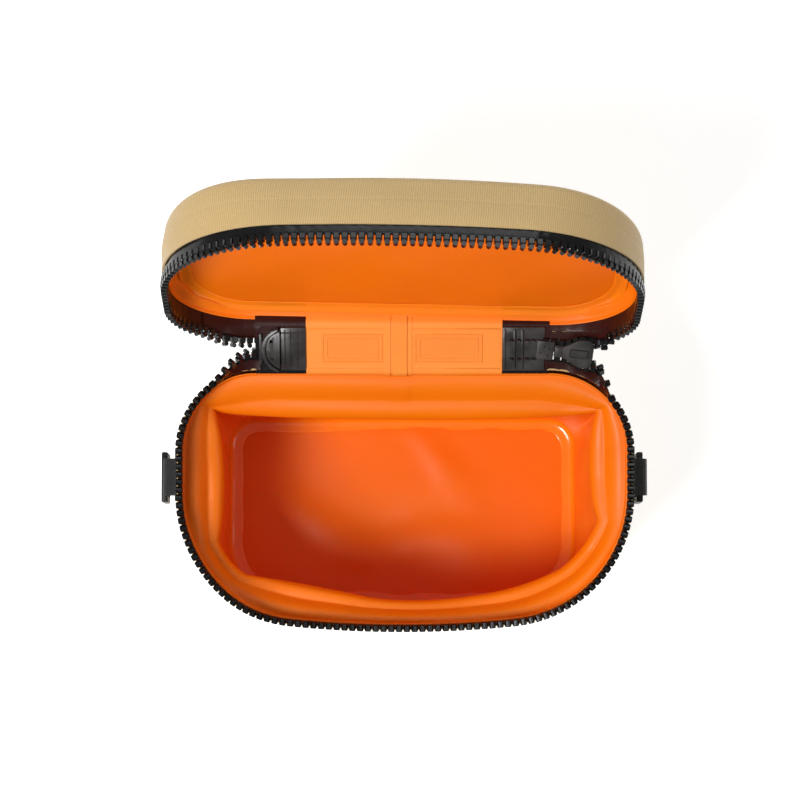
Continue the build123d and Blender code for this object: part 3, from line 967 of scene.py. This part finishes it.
def zip_tapes(side):
    """The tape that carries a row: glossy black outside, dark red inside."""
    path, run = rim_path()
    pieces = {}
    steps = np.arange(0, run[-1], 2.0)
    depth = 22.0 if side < 0 else 15.4
    profile = [(0.55, depth), (0.6, depth * 0.75), (0.6, 11.0), (0.75, 8.0), (0.6, 6.0), (0.0, 5.6)]
    profile += [(-0.6, 6.0), (-0.75, 8.0), (-0.6, 11.0), (-0.6, depth * 0.75), (-0.55, depth)]
    stretches = {}
    for s in np.append(steps, run[-1]):
        x, y, along = path_point(path, run, float(s) % run[-1])
        stretches.setdefault(zone(x, y), []).append((float(s), x, y, along))
    for where in ("row", "left_bend", "right_bend"):
        points = stretches[where]
        jumps = [k for k in range(1, len(points)) if points[k][0] - points[k - 1][0] > 3.0]
        if jumps:
            points = points[jumps[0] :] + points[: jumps[0]]
        # Meet the neighbouring stretch exactly.
        before = path_point(path, run, points[0][0] - 2.0)
        after = path_point(path, run, points[-1][0] + 2.0)
        points = [(0, *before)] * (zone(before[0], before[1]) is not None) + points
        points += [(0, *after)] * (zone(after[0], after[1]) is not None and where != "row")
        rows = []
        for _, x, y, along in points:
            out = Vector((along.y, -along.x))
            row = []
            for offset, up in profile:
                ripple = 0.25 * sin(x * 0.9 + y * 0.7) * smooth((up - 7) / 3) * smooth((13 - up) / 2)
                row.append(row_point(x + out.x * (offset + ripple), y + out.y * (offset + ripple), up * side, side))
            rows.append(row)
        name = f"{'lid' if side > 0 else 'body'}_tape_{where}"
        obj = sheet_of(name, rows, closed=True, flip=side > 0)
        paint(obj, "tape_out", "tape_inside_painted_reflection")
        per_row = len(profile)
        for index, polygon in enumerate(obj.data.polygons):
            polygon.material_index = 1 if 5 <= index % per_row < per_row - 1 else 0
        shade(obj, 50)
        pieces[where] = obj
    return pieces


def place_row(pieces, side, replaced):
    """Rides the free row and bends the stretches beside the hinge strip."""
    body = "lid" if side > 0 else "body"
    finish_piece(pieces["row"], body, [replaced])
    for where, sign in (("left_bend", -1), ("right_bend", 1)):
        if where not in pieces:
            continue
        obj = pieces[where]
        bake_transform(obj)


# ---- Hinge strip --------------------------------------------------------------------------------
def fold_panel(name, x0, x1, offset, lower, reach, material_name, slot, replaced=(), thick=0.8, ripple=0.0):
    """A layer from the middle of the strip over one fold, on to the body or the lid."""
    steps = [0.0, 3.0, 6.0, 8.5, 10.3, 11.5, 12.5, 13.2, 14.0, 14.8, 15.5, 16.5, 18.0]
    steps = [s for s in steps if s < reach] + [reach]
    xs = np.linspace(x0, x1, max(4, int((x1 - x0) / 3)))
    rows = []
    for s in steps:
        up = -s if lower else s
        row = []
        for x in xs:
            share = smooth((s - FOLD + FOLD_SOFT) / (2 * FOLD_SOFT))
            bow = offset + ripple * soft_noise(x * 2.2, s * 5)
            p = in_rim(x, RIM[1] + bow, up)
            row.append(body_place(p, 1 - share) if lower else lid_place(p, 1 - share))
        rows.append(row)
    inside = offset < 0
    obj = sheet_of(name, rows, closed=False, flip=lower != inside)
    thicken(obj, thick)
    dress(obj, material_name, 60)
    on_wall = in_rim(0, RIM[1], -FOLD - FOLD_SOFT if lower else FOLD + FOLD_SOFT)
    far = body_place(on_wall) if lower else lid_place(on_wall)
    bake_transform(obj)
    if replaced:
        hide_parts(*replaced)
    return obj


def strip_place(obj):
    return move_mesh(obj, STRIP @ rim_matrix())


def hinge_strip():
    for name, lower, reach, node in (
        ("hinge_inner_lower", True, 19.0, "hinge_inner_panel"),
        ("hinge_inner_upper", False, 17.5, "hinge_web"),
    ):
        finish = ("hinge_lining", "orange_lining", [node], 0.5, 0.12)
        fold_panel(name, PANEL_LEFT, PANEL_RIGHT, -1.0, lower, reach, *finish)
    fold_panel("hinge_outer_lower", -78.0, 78.0, 1.0, True, 20.0, "sand", "sand_fabric", ["hinge_outer_panel"], 0.6)
    fold_panel("hinge_outer_upper", -78.0, 78.0, 1.0, False, 17.5, "sand", "sand_fabric", [], 0.6)
    for x0, x1, tag in ((-79.5, PANEL_LEFT, "left"), (PANEL_RIGHT, 79.5, "right")):
        fold_panel(f"fold_tape_{tag}_lower", x0, x1, -0.55, True, 19.0, "tape_out", "zip_tape", [], 0.4)
        # The upper fold tapes take the inner tape finish, with its painted reflection of the orange lining.
        fold_panel(f"fold_tape_{tag}_upper", x0, x1, -0.55, False, 17.5, "tape_inside_painted_reflection", "zip_tape", [], 0.4)
    for name, x0, x1 in (("hinge_patch_left", -43.5, -10.6), ("hinge_patch_right", 6.6, 43.5)):
        frame_box = rounded_box((x0, -1.9, -8.4), (x1, -1.3, 8.4), 0.28, 2)
        cut(frame_box, rounded_box((x0 + 0.8, -5, -7.6), (x1 - 0.8, -1.62, 7.6), 0.2, 1))
        panel = rounded_box((x0 + 2.4, -1.95, -6.2), (x1 - 2.4, -1.5, 6.2), 0.2, 2)
        cut(panel, rounded_box((x0 + 3.1, -5, -5.5), (x1 - 3.1, -1.72, 5.5), 0.2, 1))
        obj = strip_place(join(name, [frame_box, panel]))
        dress(obj, "hinge_lining", 12)
        finish_piece(obj, "strip", [name])
    for lower in (True, False):
        tag = "lower" if lower else "upper"
        for n, (x0, x1, offset) in enumerate(((-9.8, -6.4, -1.55), (-5.2, 2.6, -1.75), (3.4, 5.2, -1.6))):
            finish = "hinge_tape" if n == 1 else "hinge_lining"
            nodes = ["centre_seam_tape"] if n == 1 and lower else []
            place = (x0, x1, offset, lower, 19.5)
            fold_panel(f"centre_seam_{tag}_{n}", *place, finish, "seam_tape", nodes, 0.35, 0.05)
    for z in (-11.6, 11.4):
        weld = strip_place(rounded_box((PANEL_LEFT + 1, -1.75, z - 0.35), (PANEL_RIGHT - 1, -1.4, z + 0.35), 0.15, 1))
        weld.name = f"hinge_weld_{'low' if z < 0 else 'high'}"
        dress(weld, "hinge_lining", 50)
        finish_piece(weld, "strip")


def dock_plate(x0, x1):
    """A soft moulded plate with a thin edge, inside the strip."""
    return rounded_box((x0, -2.7, -12.6), (x1, -0.5, 12.6), 0.6, 2)


def docks():
    parts = [rounded_box((-66.0, -2.7, -12.4), (-52.0, -0.5, 12.4), 0.6, 2)]
    parts.append(tube((-65.1, -1.6, 0), "Y", 12.4, 2.4, 48, 0.6))
    parts.append(rounded_box((-77.4, 0.9, -7.2), (-58.0, 3.1, 7.2), 0.8, 2))
    parts.append(rounded_box((-77.4, -2.4, -8.8), (-75.6, 3.0, 8.8), 0.7, 2))
    crescent = tube((-62.5, -3.6, 0), "Y", 11.5, 2.2, 40, 0.6)
    cut(crescent, rounded_box((-66.2, -9, -20), (-40, 9, 20), 0.0))
    parts.append(crescent)
    lip = tube((-63.0, -3.9, 0), "Y", 13.4, 3.2, 40, 0.8)
    cut(lip, tube((-61.9, -3.4, 0), "Y", 12.2, 12, 40), rounded_box((-67.0, -9, -20), (-40, 9, 20), 0.0))
    parts.append(lip)
    for x, wide in ((-63.4, 0.7), (-60.4, 0.6), (-56.6, 0.6)):
        parts.append(rounded_box((x - wide / 2, -3.2, -11.2), (x + wide / 2, -2.6, 11.2), 0.25, 1))
    for z in (-9.4, 9.4):
        parts.append(rounded_box((-66, -3.1, z - 0.4), (-53.5, -2.6, z + 0.4), 0.2, 1))
    left = join("zip_garage", parts)
    holes = [rounded_box((-71.6, -6, z - 0.75), (-70.0, -2.0, z + 0.75), 0.0) for z in (-5.2, 5.2)]
    cut(left, *holes)
    dress(strip_place(left), "dock")
    finish_piece(left, "strip", ["zip_garage"])

    parts = [dock_plate(54.0, 77.0)]
    parts.append(rounded_box((58.0, 0.9, -7.2), (DOCK_END, 3.1, 7.2), 0.8, 2))
    parts.append(rounded_box((75.4, -2.4, -8.8), (DOCK_END, 3.0, 8.8), 0.7, 2))
    parts.append(rounded_box((54.6, -3.5, -12.0), (56.0, -2.5, 12.0), 0.4, 2))
    parts.append(rounded_box((58.0, -3.2, -10.6), (72.5, -2.4, 10.6), 0.35, 2))
    for x in (60.6, 64.8):
        parts.append(rounded_box((x - 0.55, -3.9, -11.4), (x + 0.55, -2.9, 11.4), 0.3, 2))
    parts.append(rounded_box((58.5, -3.6, 8.4), (74.5, -2.9, 9.3), 0.3, 1))
    parts.append(rounded_box((58.5, -3.6, -9.3), (74.5, -2.9, -8.4), 0.3, 1))
    right = join("zip_end_dock", parts)
    holes = []
    for x in (58.9, 62.8, 67.0, 70.4):
        for z in (-5.4, 5.4):
            holes.append(rounded_box((x - 0.65, -6, z - 0.65), (x + 0.65, -2.7, z + 0.65), 0.0))
    cut(right, *holes)
    dress(strip_place(right), "dock")
    finish_piece(right, "strip", ["zip_end_dock"])

    block = rounded_box((72.6, -4.7, -5.3), (81.8, -2.8, 5.3), 0.45, 2)
    stop = join("zip_stop", [block, rounded_box((78.2, -2.9, -4.0), (81.6, 2.7, 4.0), 0.4, 1)])
    dots = [tube((x, -5, z), "Y", 0.6, 2.2, 10) for x, z in ((75.0, -1.4), (76.6, 2.4), (78.8, -2.6), (79.6, 1.4))]
    cut(stop, *dots)
    lean_place(stop)
    dress(stop, "slider")
    finish_piece(stop, "strip", ["zip_stop"])


# ---- Slider -------------------------------------------------------------------------------------
def lean_place(obj):
    """Slider pieces lie along the line of the slider's travel."""
    travel = Vector(JOINTS["slider_travel"]["axis"])
    straight = STRIP.to_3x3() @ Vector((1, 0, 0))
    pivot = STRIP @ in_rim(DOCK_END, RIM[1], 0)
    turn = straight.rotation_difference(travel).to_matrix().to_4x4()
    dip = Matrix.Translation(pivot) @ turn @ Matrix.Translation(-pivot)
    return move_mesh(obj, dip @ STRIP @ rim_matrix())


def wing(inside, outside):
    """A wedge plate, narrow where the rows are shut and wide where they part."""
    half = [(82.0, 3.4), (86.6, 3.1), (89.5, 4.4), (93.5, 7.0), (96.5, 8.0), (100.0, 8.3), (102.4, 7.2), (103.3, 4.5)]
    points = half + [(x, -z) for x, z in reversed(half)]
    count = len(points)
    vertices = [(x, y, z) for y in (inside, outside) for x, z in points]
    faces = [list(range(count)), list(range(2 * count - 1, count - 1, -1))]
    faces += [[k, count + k, count + (k + 1) % count, (k + 1) % count] for k in range(count)]
    obj = new_mesh("wing", vertices, faces)
    face_outwards(obj)
    round_edges(obj, 0.7, 3, 60)
    return obj


def slider():
    parts = [wing(-5.0, -3.2), wing(3.2, 4.9)]
    parts.append(rounded_box((94.0, -3.4, -2.2), (103.4, 3.4, 2.2), 0.8, 2))
    for z in (-1, 1):
        side = rounded_box((94.5, -3.4, 6.4 * z - 0.9), (103.6, -1.9, 6.4 * z + 1.3 * (1 if z > 0 else 0.6)), 0.5, 2)
        parts.append(side)
    for z in (-3.05, 3.05):
        parts.append(rounded_box((90.4, 4.2, z - 0.75), (95.6, 10.4, z + 0.75), 0.6, 2))
    parts.append(rounded_box((82.6, -5.5, -2.7), (86.4, -4.6, 2.7), 0.4, 2))
    body = join("slider_body", parts)
    ring = rounded_box((90.6, -5.6, -2.4), (100.6, -4.4, 2.4), 0.0)
    round_edges(ring, 2.3, 6, 50)
    cut(body, ring)
    core = rounded_box((91.1, -5.4, -1.95), (100.1, -4.3, 1.95), 0.0)
    body = join("slider_body", [body, core])
    lean_place(body)
    dress(body, "slider")
    finish_piece(body, "slider", ["slider_body"])

    pin = lean_place(tube((93.0, 8.4, 0), "Z", 1.3, 8.4, 20, 0.25))
    pin.name = "slider_pin_look"
    dress(pin, "steel")
    finish_piece(pin, "slider", ["slider_pin"])

    eye = cut(tube((93.0, 8.4, 0), "Z", 2.9, 3.8, 24, 0.4), tube((93.0, 8.4, 0), "Z", 1.4, 9, 20))
    core = join("puller_core", [eye, rounded_box((91.9, 11.0, -1.9), (94.1, 23.0, 1.9), 0.5, 2)])
    lean_place(core)
    dress(core, "slider")
    finish_piece(core, "puller", ["puller_core"])

    parts = [rounded_box((90.8, 17.4, -5.4), (95.2, 44.2, 5.4), 1.5, 3)]
    for n in range(6):
        y = 23.0 + n * 3.2
        for x in (90.7, 95.3):
            parts.append(rounded_box((x - 0.35, y - 0.6, -4.2), (x + 0.35, y + 0.6, 4.2), 0.3, 2))
    grip = lean_place(join("puller_grip", parts))
    dress(grip, "rubber")
    finish_piece(grip, "puller", ["puller_grip"])


# ---- Side loops and rings -----------------------------------------------------------------------
def wall_x(z):
    """Half width of the body's outside at loop height, in mm."""
    top = in_rim(0, 14.0, -24.0).z
    return 118.0 + (125.15 - 118.0) * (z - 62.0) / (top - 62.0)


def strap(name, profile, y0, y1, thick, material_name):
    """A band of webbing that follows a side profile of (x, z) points."""
    rows = [[Vector((x, y, z)) for y in np.linspace(y0, y1, 9)] for x, z in profile]
    obj = sheet_of(name, rows, closed=False)
    thicken(obj, thick, 0.0)
    round_edges(obj, 0.18, 2, 60)
    return dress(obj, material_name)


def side_hardware(sign):
    name = "right" if sign > 0 else "left"
    ring_x, loop_y, loop_z = 130.2, 14.0, 100.0
    press = pressed((-125.0, 0, 100.0)).x + 125.0 if sign < 0 else 0.0
    patch_rows = []
    for z in np.linspace(loop_z - 17, loop_z + 8, 8):
        lift = 1.0 if loop_z - 16.5 < z < loop_z + 7.5 else 0.5
        patch_rows.append([Vector((wall_x(z) + lift, y, z)) for y in np.linspace(loop_y - 13.5, loop_y + 13.5, 10)])
    patch = sheet_of(f"{name}_loop_patch", patch_rows, closed=False, flip=True)
    thicken(patch, 0.9)
    round_edges(patch, 0.3, 2, 60)
    dress(patch, "base")

    profile = [(wall_x(z) + 1.9, z) for z in np.linspace(loop_z - 13, loop_z - 4.4, 5)]
    profile += [(ring_x - 1.2, loop_z - 3.6)]
    profile += [(ring_x + 3.4 * sin(t), loop_z - 3.4 * cos(t)) for t in np.linspace(0.1, pi - 0.1, 10)]
    profile += [(ring_x - 1.2, loop_z + 3.6)]
    profile += [(wall_x(z) + 1.9, z) for z in (loop_z + 4.2, loop_z + 5.6)]
    loop = strap(f"{name}_web_loop", profile, loop_y - 10, loop_y + 10, 1.3, "webbing")
    stitches = []
    for z in (loop_z - 6.5, loop_z - 11.0):
        for y in np.linspace(loop_y - 7.5, loop_y + 7.5, 8):
            x = wall_x(z)
            stitches.append(rounded_box((x + 2.4, y - 0.75, z - 0.22), (x + 2.85, y + 0.75, z + 0.22), 0.15, 1))
    thread = join(f"{name}_stitching", stitches)
    dress(thread, "webbing", 60)

    low, high = (ring_x - 1.7, loop_y - 13.75, loop_z - 19.3), (ring_x + 1.7, loop_y + 13.75, loop_z + 1.7)
    outer = rounded_box(low, high, 0.0)
    inner = rounded_box((ring_x - 5, loop_y - 10.35, loop_z - 15.9), (ring_x + 5, loop_y + 10.35, loop_z - 1.7), 0.0)
    cut(outer, inner)
    round_edges(outer, 0.75, 3, 50)
    ring = join(f"{name}_strap_ring", [outer])
    dress(ring, "ring")

    for obj in (patch, loop, thread, ring):
        if sign < 0:
            obj.data.transform(Matrix.Diagonal((-1, 1, 1, 1)))
            obj.data.flip_normals()
            if obj is not ring:
                obj.data.transform(Matrix.Translation((press * MM, 0, 0)))
    finish_piece(patch, "body", [f"{name}_loop_patch"])
    finish_piece(loop, "body", [f"{name}_web_loop"])
    finish_piece(thread, "body")
    finish_piece(ring, f"{name}_ring", [f"{name}_strap_ring"])


# ---- Lid ----------------------------------------------------------------------------------------

def lid_out(p):
    """The soft lid stands fuller at its left front corner."""
    p = Vector(p)
    corner = smooth((-p.x - 40) / 60) * smooth((-p.y - 5) / 50) * smooth((p.z - 128) / 26)
    p.x -= 2.6 * corner
    p.y -= 2.6 * corner
    return lid_place(p)


def notch_lid(obj, half_width, spare):
    """Makes room for the hinge strip at the lid's back."""
    shut = LID.inverted()

    def clear_of_strip(p):
        q = shut @ p
        up = -q.y * sin(RIM_SLOPE) + (q.z - RIM_HEIGHT) * cos(RIM_SLOPE)
        return not (q.y > 50 and abs(q.x) < half_width and up < FOLD + spare)

    cut_away(obj, clear_of_strip)


def lid_band():
    edge = wall_rows([(RIM, SHELL_OUT, parallel(SHELL_EDGE))], Vector)[0]
    straight = wall_rows([(RIM, SHELL_OUT, parallel(15.5))], Vector)[0]
    shoulder = wall_rows([(LID_SHOULDER, 0.0, level(155.6))], Vector)[0]
    rows = blend_rows(edge, straight, [0, 0.12, 0.5])
    shares = [0, 0.12, 0.25, 0.36, 0.42, 0.47, 0.50, 0.53, 0.58, 0.66, 0.78, 0.9, 1.0]
    for share in shares:
        row = between(straight, shoulder, share)
        crease = exp(-(((share - 0.50) / 0.035) ** 2))
        belly = sin(pi * share)
        for k, p in enumerate(row):
            out = Vector((p.x, p.y * 1.6, 0)).normalized()
            front = smooth((-p.y) / 40)
            row[k] = p + out * (0.5 * belly * soft_noise(p.x, p.y, p.z * 2) + 0.35 * belly - 0.2 * crease * front)
        rows.append(row)
    for turn in (15, 32, 50, 68, 84):
        t = radians(turn)
        grow = -5.2 * (1 - cos(t))
        rows.append(wall_rows([(LID_SHOULDER, grow, level(155.6 + 5.4 * sin(t)))], Vector)[0])
    rows = [[lid_out(p) for p in row] for row in rows]
    obj = sheet_of("lid_band", rows)
    notch_lid(obj, half_width=81, spare=0.3)
    finer(obj)
    thicken(obj, FABRIC)
    dress(obj, "sand", 60)
    return finish_piece(obj, "lid", ["lid_band"])


def lid_top():
    rows = []
    steps = [(-4.4, 1, 160.4), (-4.9, 1, 161.2), (-5.8, 1, 161.45), (-9, 1, 161.6), (-14, 1, 161.9)]
    steps += [(-20, share, 162.3) for share in (1, 0.88, 0.75, 0.62, 0.48, 0.34, 0.2, 0.07)]
    for grow, share, z in steps:
        plan = around(LID_SHOULDER, grow) * share
        rows.append([lid_out(Vector((x, y, z + 0.3 * soft_noise(x * 1.5, y * 1.5)))) for x, y in plan])
    obj = sheet_of("lid_top_panel", rows, cap=True)
    lay_flat(obj, LID.inverted())
    thicken(obj, FABRIC)
    dress(obj, "sand", 60)
    return finish_piece(obj, "lid", ["lid_top_panel", "lid_foam"])


def lid_wall_lining():
    """Lining of the lid's wall, from the zip tape up to the ceiling's welded edge."""
    angles = column_angles()
    edge = wall_rows([(RIM, -0.8, parallel(LINING_EDGE))], Vector)[0]
    rise = wall_rows([(RIM, -1.0, parallel(17.0))], Vector)[0]
    ceiling = wall_rows([(LID_INSIDE, -1.0, level(155.4))], Vector)[0]
    rows = [edge, between(edge, rise, 0.5)]
    for share in (0, 0.2, 0.4, 0.6, 0.8, 0.93, 1.0):
        row = between(rise, ceiling, share)
        bow = sin(pi * share)
        for k, p in enumerate(row):
            inward = Vector((-p.x, -p.y * 1.6, 0)).normalized()
            corner = smooth((abs(p.x) - 70) / 40)
            slack = 0.9 + 2.0 * corner * soft_noise(p.x * 2.6, p.y * 2.8, p.z * 2.5)
            tuck = 3.5 * exp(-(((p.x + 104) / 9) ** 2) - (((p.y - 18) / 12) ** 2))
            row[k] = p + inward * (bow * slack - tuck * bow)
        rows.append(row)
    for grow, z in ((-2.2, 156.2), (-4.2, 156.6)):
        rows.append(wall_rows([(LID_INSIDE, grow, level(z))], Vector)[0])
    rows = [[lid_place(p) for p in row] for row in rows]
    obj = sheet_of("lid_wall_lining", rows, flip=True)
    notch_lid(obj, half_width=79, spare=0.5)
    finer(obj)
    thicken(obj, 0.7)
    dress(obj, "lining", 180)
    return finish_piece(obj, "lid", ["lid_wall_lining"])


def lid_ceiling():
    rows = []
    steps = [(-0.6, 1, 156.4), (-3, 1, 156.0), (-6, 1, 155.7), (-10, 1, 155.5), (-15, 1, 155.4), (-21, 1, 155.3)]
    steps += [(-25, share, 155.2) for share in (1, 0.9, 0.78, 0.66, 0.54, 0.42, 0.3, 0.18, 0.06)]
    for grow, share, z in steps:
        plan = around(LID_INSIDE, grow) * share
        calm = smooth(-grow / 14)
        rows.append([lid_place(Vector((x, y, z + calm * 0.9 * soft_noise(x * 1.1, y * 1.4)))) for x, y in plan])
    obj = sheet_of("lid_ceiling", rows, flip=True, cap=True)
    lay_flat(obj, LID.inverted())
    thicken(obj, 0.7)
    # The ceiling takes the darker copy of the lining: painted shade.
    dress(obj, "floor_lining", 180)
    finish_piece(obj, "lid", ["lid_top_lining"])

    profile = [(0.2, 153.2), (-0.6, 153.1), (-1.6, 154.5), (-3.0, 155.2), (-6.2, 155.1), (-6.8, 155.5)]
    rows = []
    for grow, z in profile:
        plan = around(LID_INSIDE, grow)
        rows.append([lid_place(Vector((x, y, z))) for x, y in plan])
    tape = sheet_of("lid_seam_tape", rows, flip=True)
    finer(tape)
    thicken(tape, 0.3)
    dress(tape, "tape", 70)
    return finish_piece(tape, "lid", ["lid_seam_tape"])


# ---- Stage --------------------------------------------------------------------------------------
def area_light(name, place, target, size, power):
    data = bpy.data.lights.new(name, "AREA")
    data.shape = "RECTANGLE"
    data.size, data.size_y = size
    data.energy = power
    obj = bpy.data.objects.new(name, data)
    obj.location = place
    obj.rotation_euler = (Vector(target) - Vector(place)).to_track_quat("-Z", "Y").to_euler()
    bpy.context.scene.collection.objects.link(obj)
    return obj


def stage():
    clear()
    size = sizes().floor_size
    bpy.ops.mesh.primitive_plane_add(size=size, location=(0, 0, -0.0004))
    ground = bpy.context.object
    ground.name = "studio_floor"
    bpy.ops.object.transform_apply(location=True, rotation=True, scale=True)
    paint(ground, "floor")

    world = bpy.data.worlds.new("studio")
    world.use_nodes = True
    world.node_tree.nodes["Background"].inputs["Color"].default_value = (1, 1, 1, 1)
    world.node_tree.nodes["Background"].inputs["Strength"].default_value = 0.2
    bpy.context.scene.world = world
    area_light("key", (-0.80, -0.62, 1.60), (0, 0, 0.08), (0.60, 0.60), 29.0)
    area_light("right_box", (1.35, -0.2, 1.0), (0, 0, 0.1), (0.5, 1.0), 2.5)
    area_light("back_box", (0.25, 1.5, 1.5), (0, 0.03, 0.1), (1.4, 0.8), 13.0)

    tilt = radians(85.0)
    target = Vector((-0.0012, 0.0540, 0.128))
    away = Vector((0, -cos(tilt), sin(tilt)))
    lens = bpy.data.cameras.new("camera")
    lens.sensor_width = 36.0
    lens.lens = 137.4
    camera = bpy.data.objects.new("camera", lens)
    camera.location = target + away * 1.65
    camera.rotation_euler = (pi / 2 - tilt, 0, 0)
    bpy.context.scene.collection.objects.link(camera)
    bpy.context.scene.camera = camera
    bpy.context.scene.view_settings.view_transform = "Standard"


# ---- Operators, panel and registration ----------------------------------------------------------
def zip_rows(side):
    place_row(zip_tapes(side), side, "lid_zip_tape" if side > 0 else "body_zip_tape")
    place_row(zip_teeth(side), side, "lid_zip_teeth" if side > 0 else "body_zip_teeth")


def both_sides():
    side_hardware(1)
    side_hardware(-1)


def operator(key, label, text, *steps):
    """An operator class that runs the given steps in order."""

    def execute(self, context):
        for step in steps:
            step()
        return {"FINISHED"}

    fields = {"__doc__": text, "bl_idname": f"bag.{key}", "bl_label": label, "execute": execute}
    fields["bl_options"] = {"REGISTER", "UNDO"}
    return type(f"BAG_OT_{key}", (bpy.types.Operator,), fields)


OPERATORS = [
    operator("outer_body", "Outer body", "Outer walls, base panel and back seam", body_shell, base_panel, back_seam),
    operator("body_lining", "Body lining", "Slack lining of rim and walls", body_lining),
    operator("floor_lining", "Floor lining", "Padded floor and its welded tape", base_lining, floor_tape),
    operator("body_zip", "Body zip row", "Tape and teeth on the body", lambda: zip_rows(-1)),
    operator("lid_zip", "Lid zip row", "Tape and teeth on the lid", lambda: zip_rows(1)),
    operator("hinge", "Hinge strip", "Fabric strip with its welded patches and seam", hinge_strip),
    operator("docks", "Zip docks", "Moulded ends of the zip and the stop", docks),
    operator("slider", "Slider", "Slider, pin and puller", slider),
    operator("side_rings", "Side rings", "Patch, webbing loop and ring on each side", both_sides),
    operator("outer_lid", "Outer lid", "Band and top of the lid", lid_band, lid_top),
    operator("lid_lining", "Lid lining", "Wall lining, ceiling and tape of the lid", lid_wall_lining, lid_ceiling),
    operator("stage", "Studio", "Floor, lights and camera", stage),
]


class BAG_PT_panel(bpy.types.Panel):
    """Lists the pieces of the bag"""

    bl_label = "Camera bag"
    bl_idname = "BAG_PT_panel"
    bl_space_type = "VIEW_3D"
    bl_region_type = "UI"
    bl_category = "Camera bag"

    def draw(self, context):
        for group in (context.scene.bag_sizes, context.scene.bag_colours):
            for key in group.__annotations__:
                self.layout.prop(group, key)
        for item in OPERATORS:
            self.layout.operator(item.bl_idname)


CLASSES = [BagSizes, BagColours, *OPERATORS, BAG_PT_panel]


def register():
    for item in CLASSES:
        bpy.utils.register_class(item)
    bpy.types.Scene.bag_sizes = bpy.props.PointerProperty(type=BagSizes)
    bpy.types.Scene.bag_colours = bpy.props.PointerProperty(type=BagColours)


def unregister():
    del bpy.types.Scene.bag_sizes
    del bpy.types.Scene.bag_colours
    for item in reversed(CLASSES):
        bpy.utils.unregister_class(item)


def main():
    register()
    for item in OPERATORS:
        group, key = item.bl_idname.split(".")
        getattr(getattr(bpy.ops, group), key)()


if __name__ == "__main__":
    main()
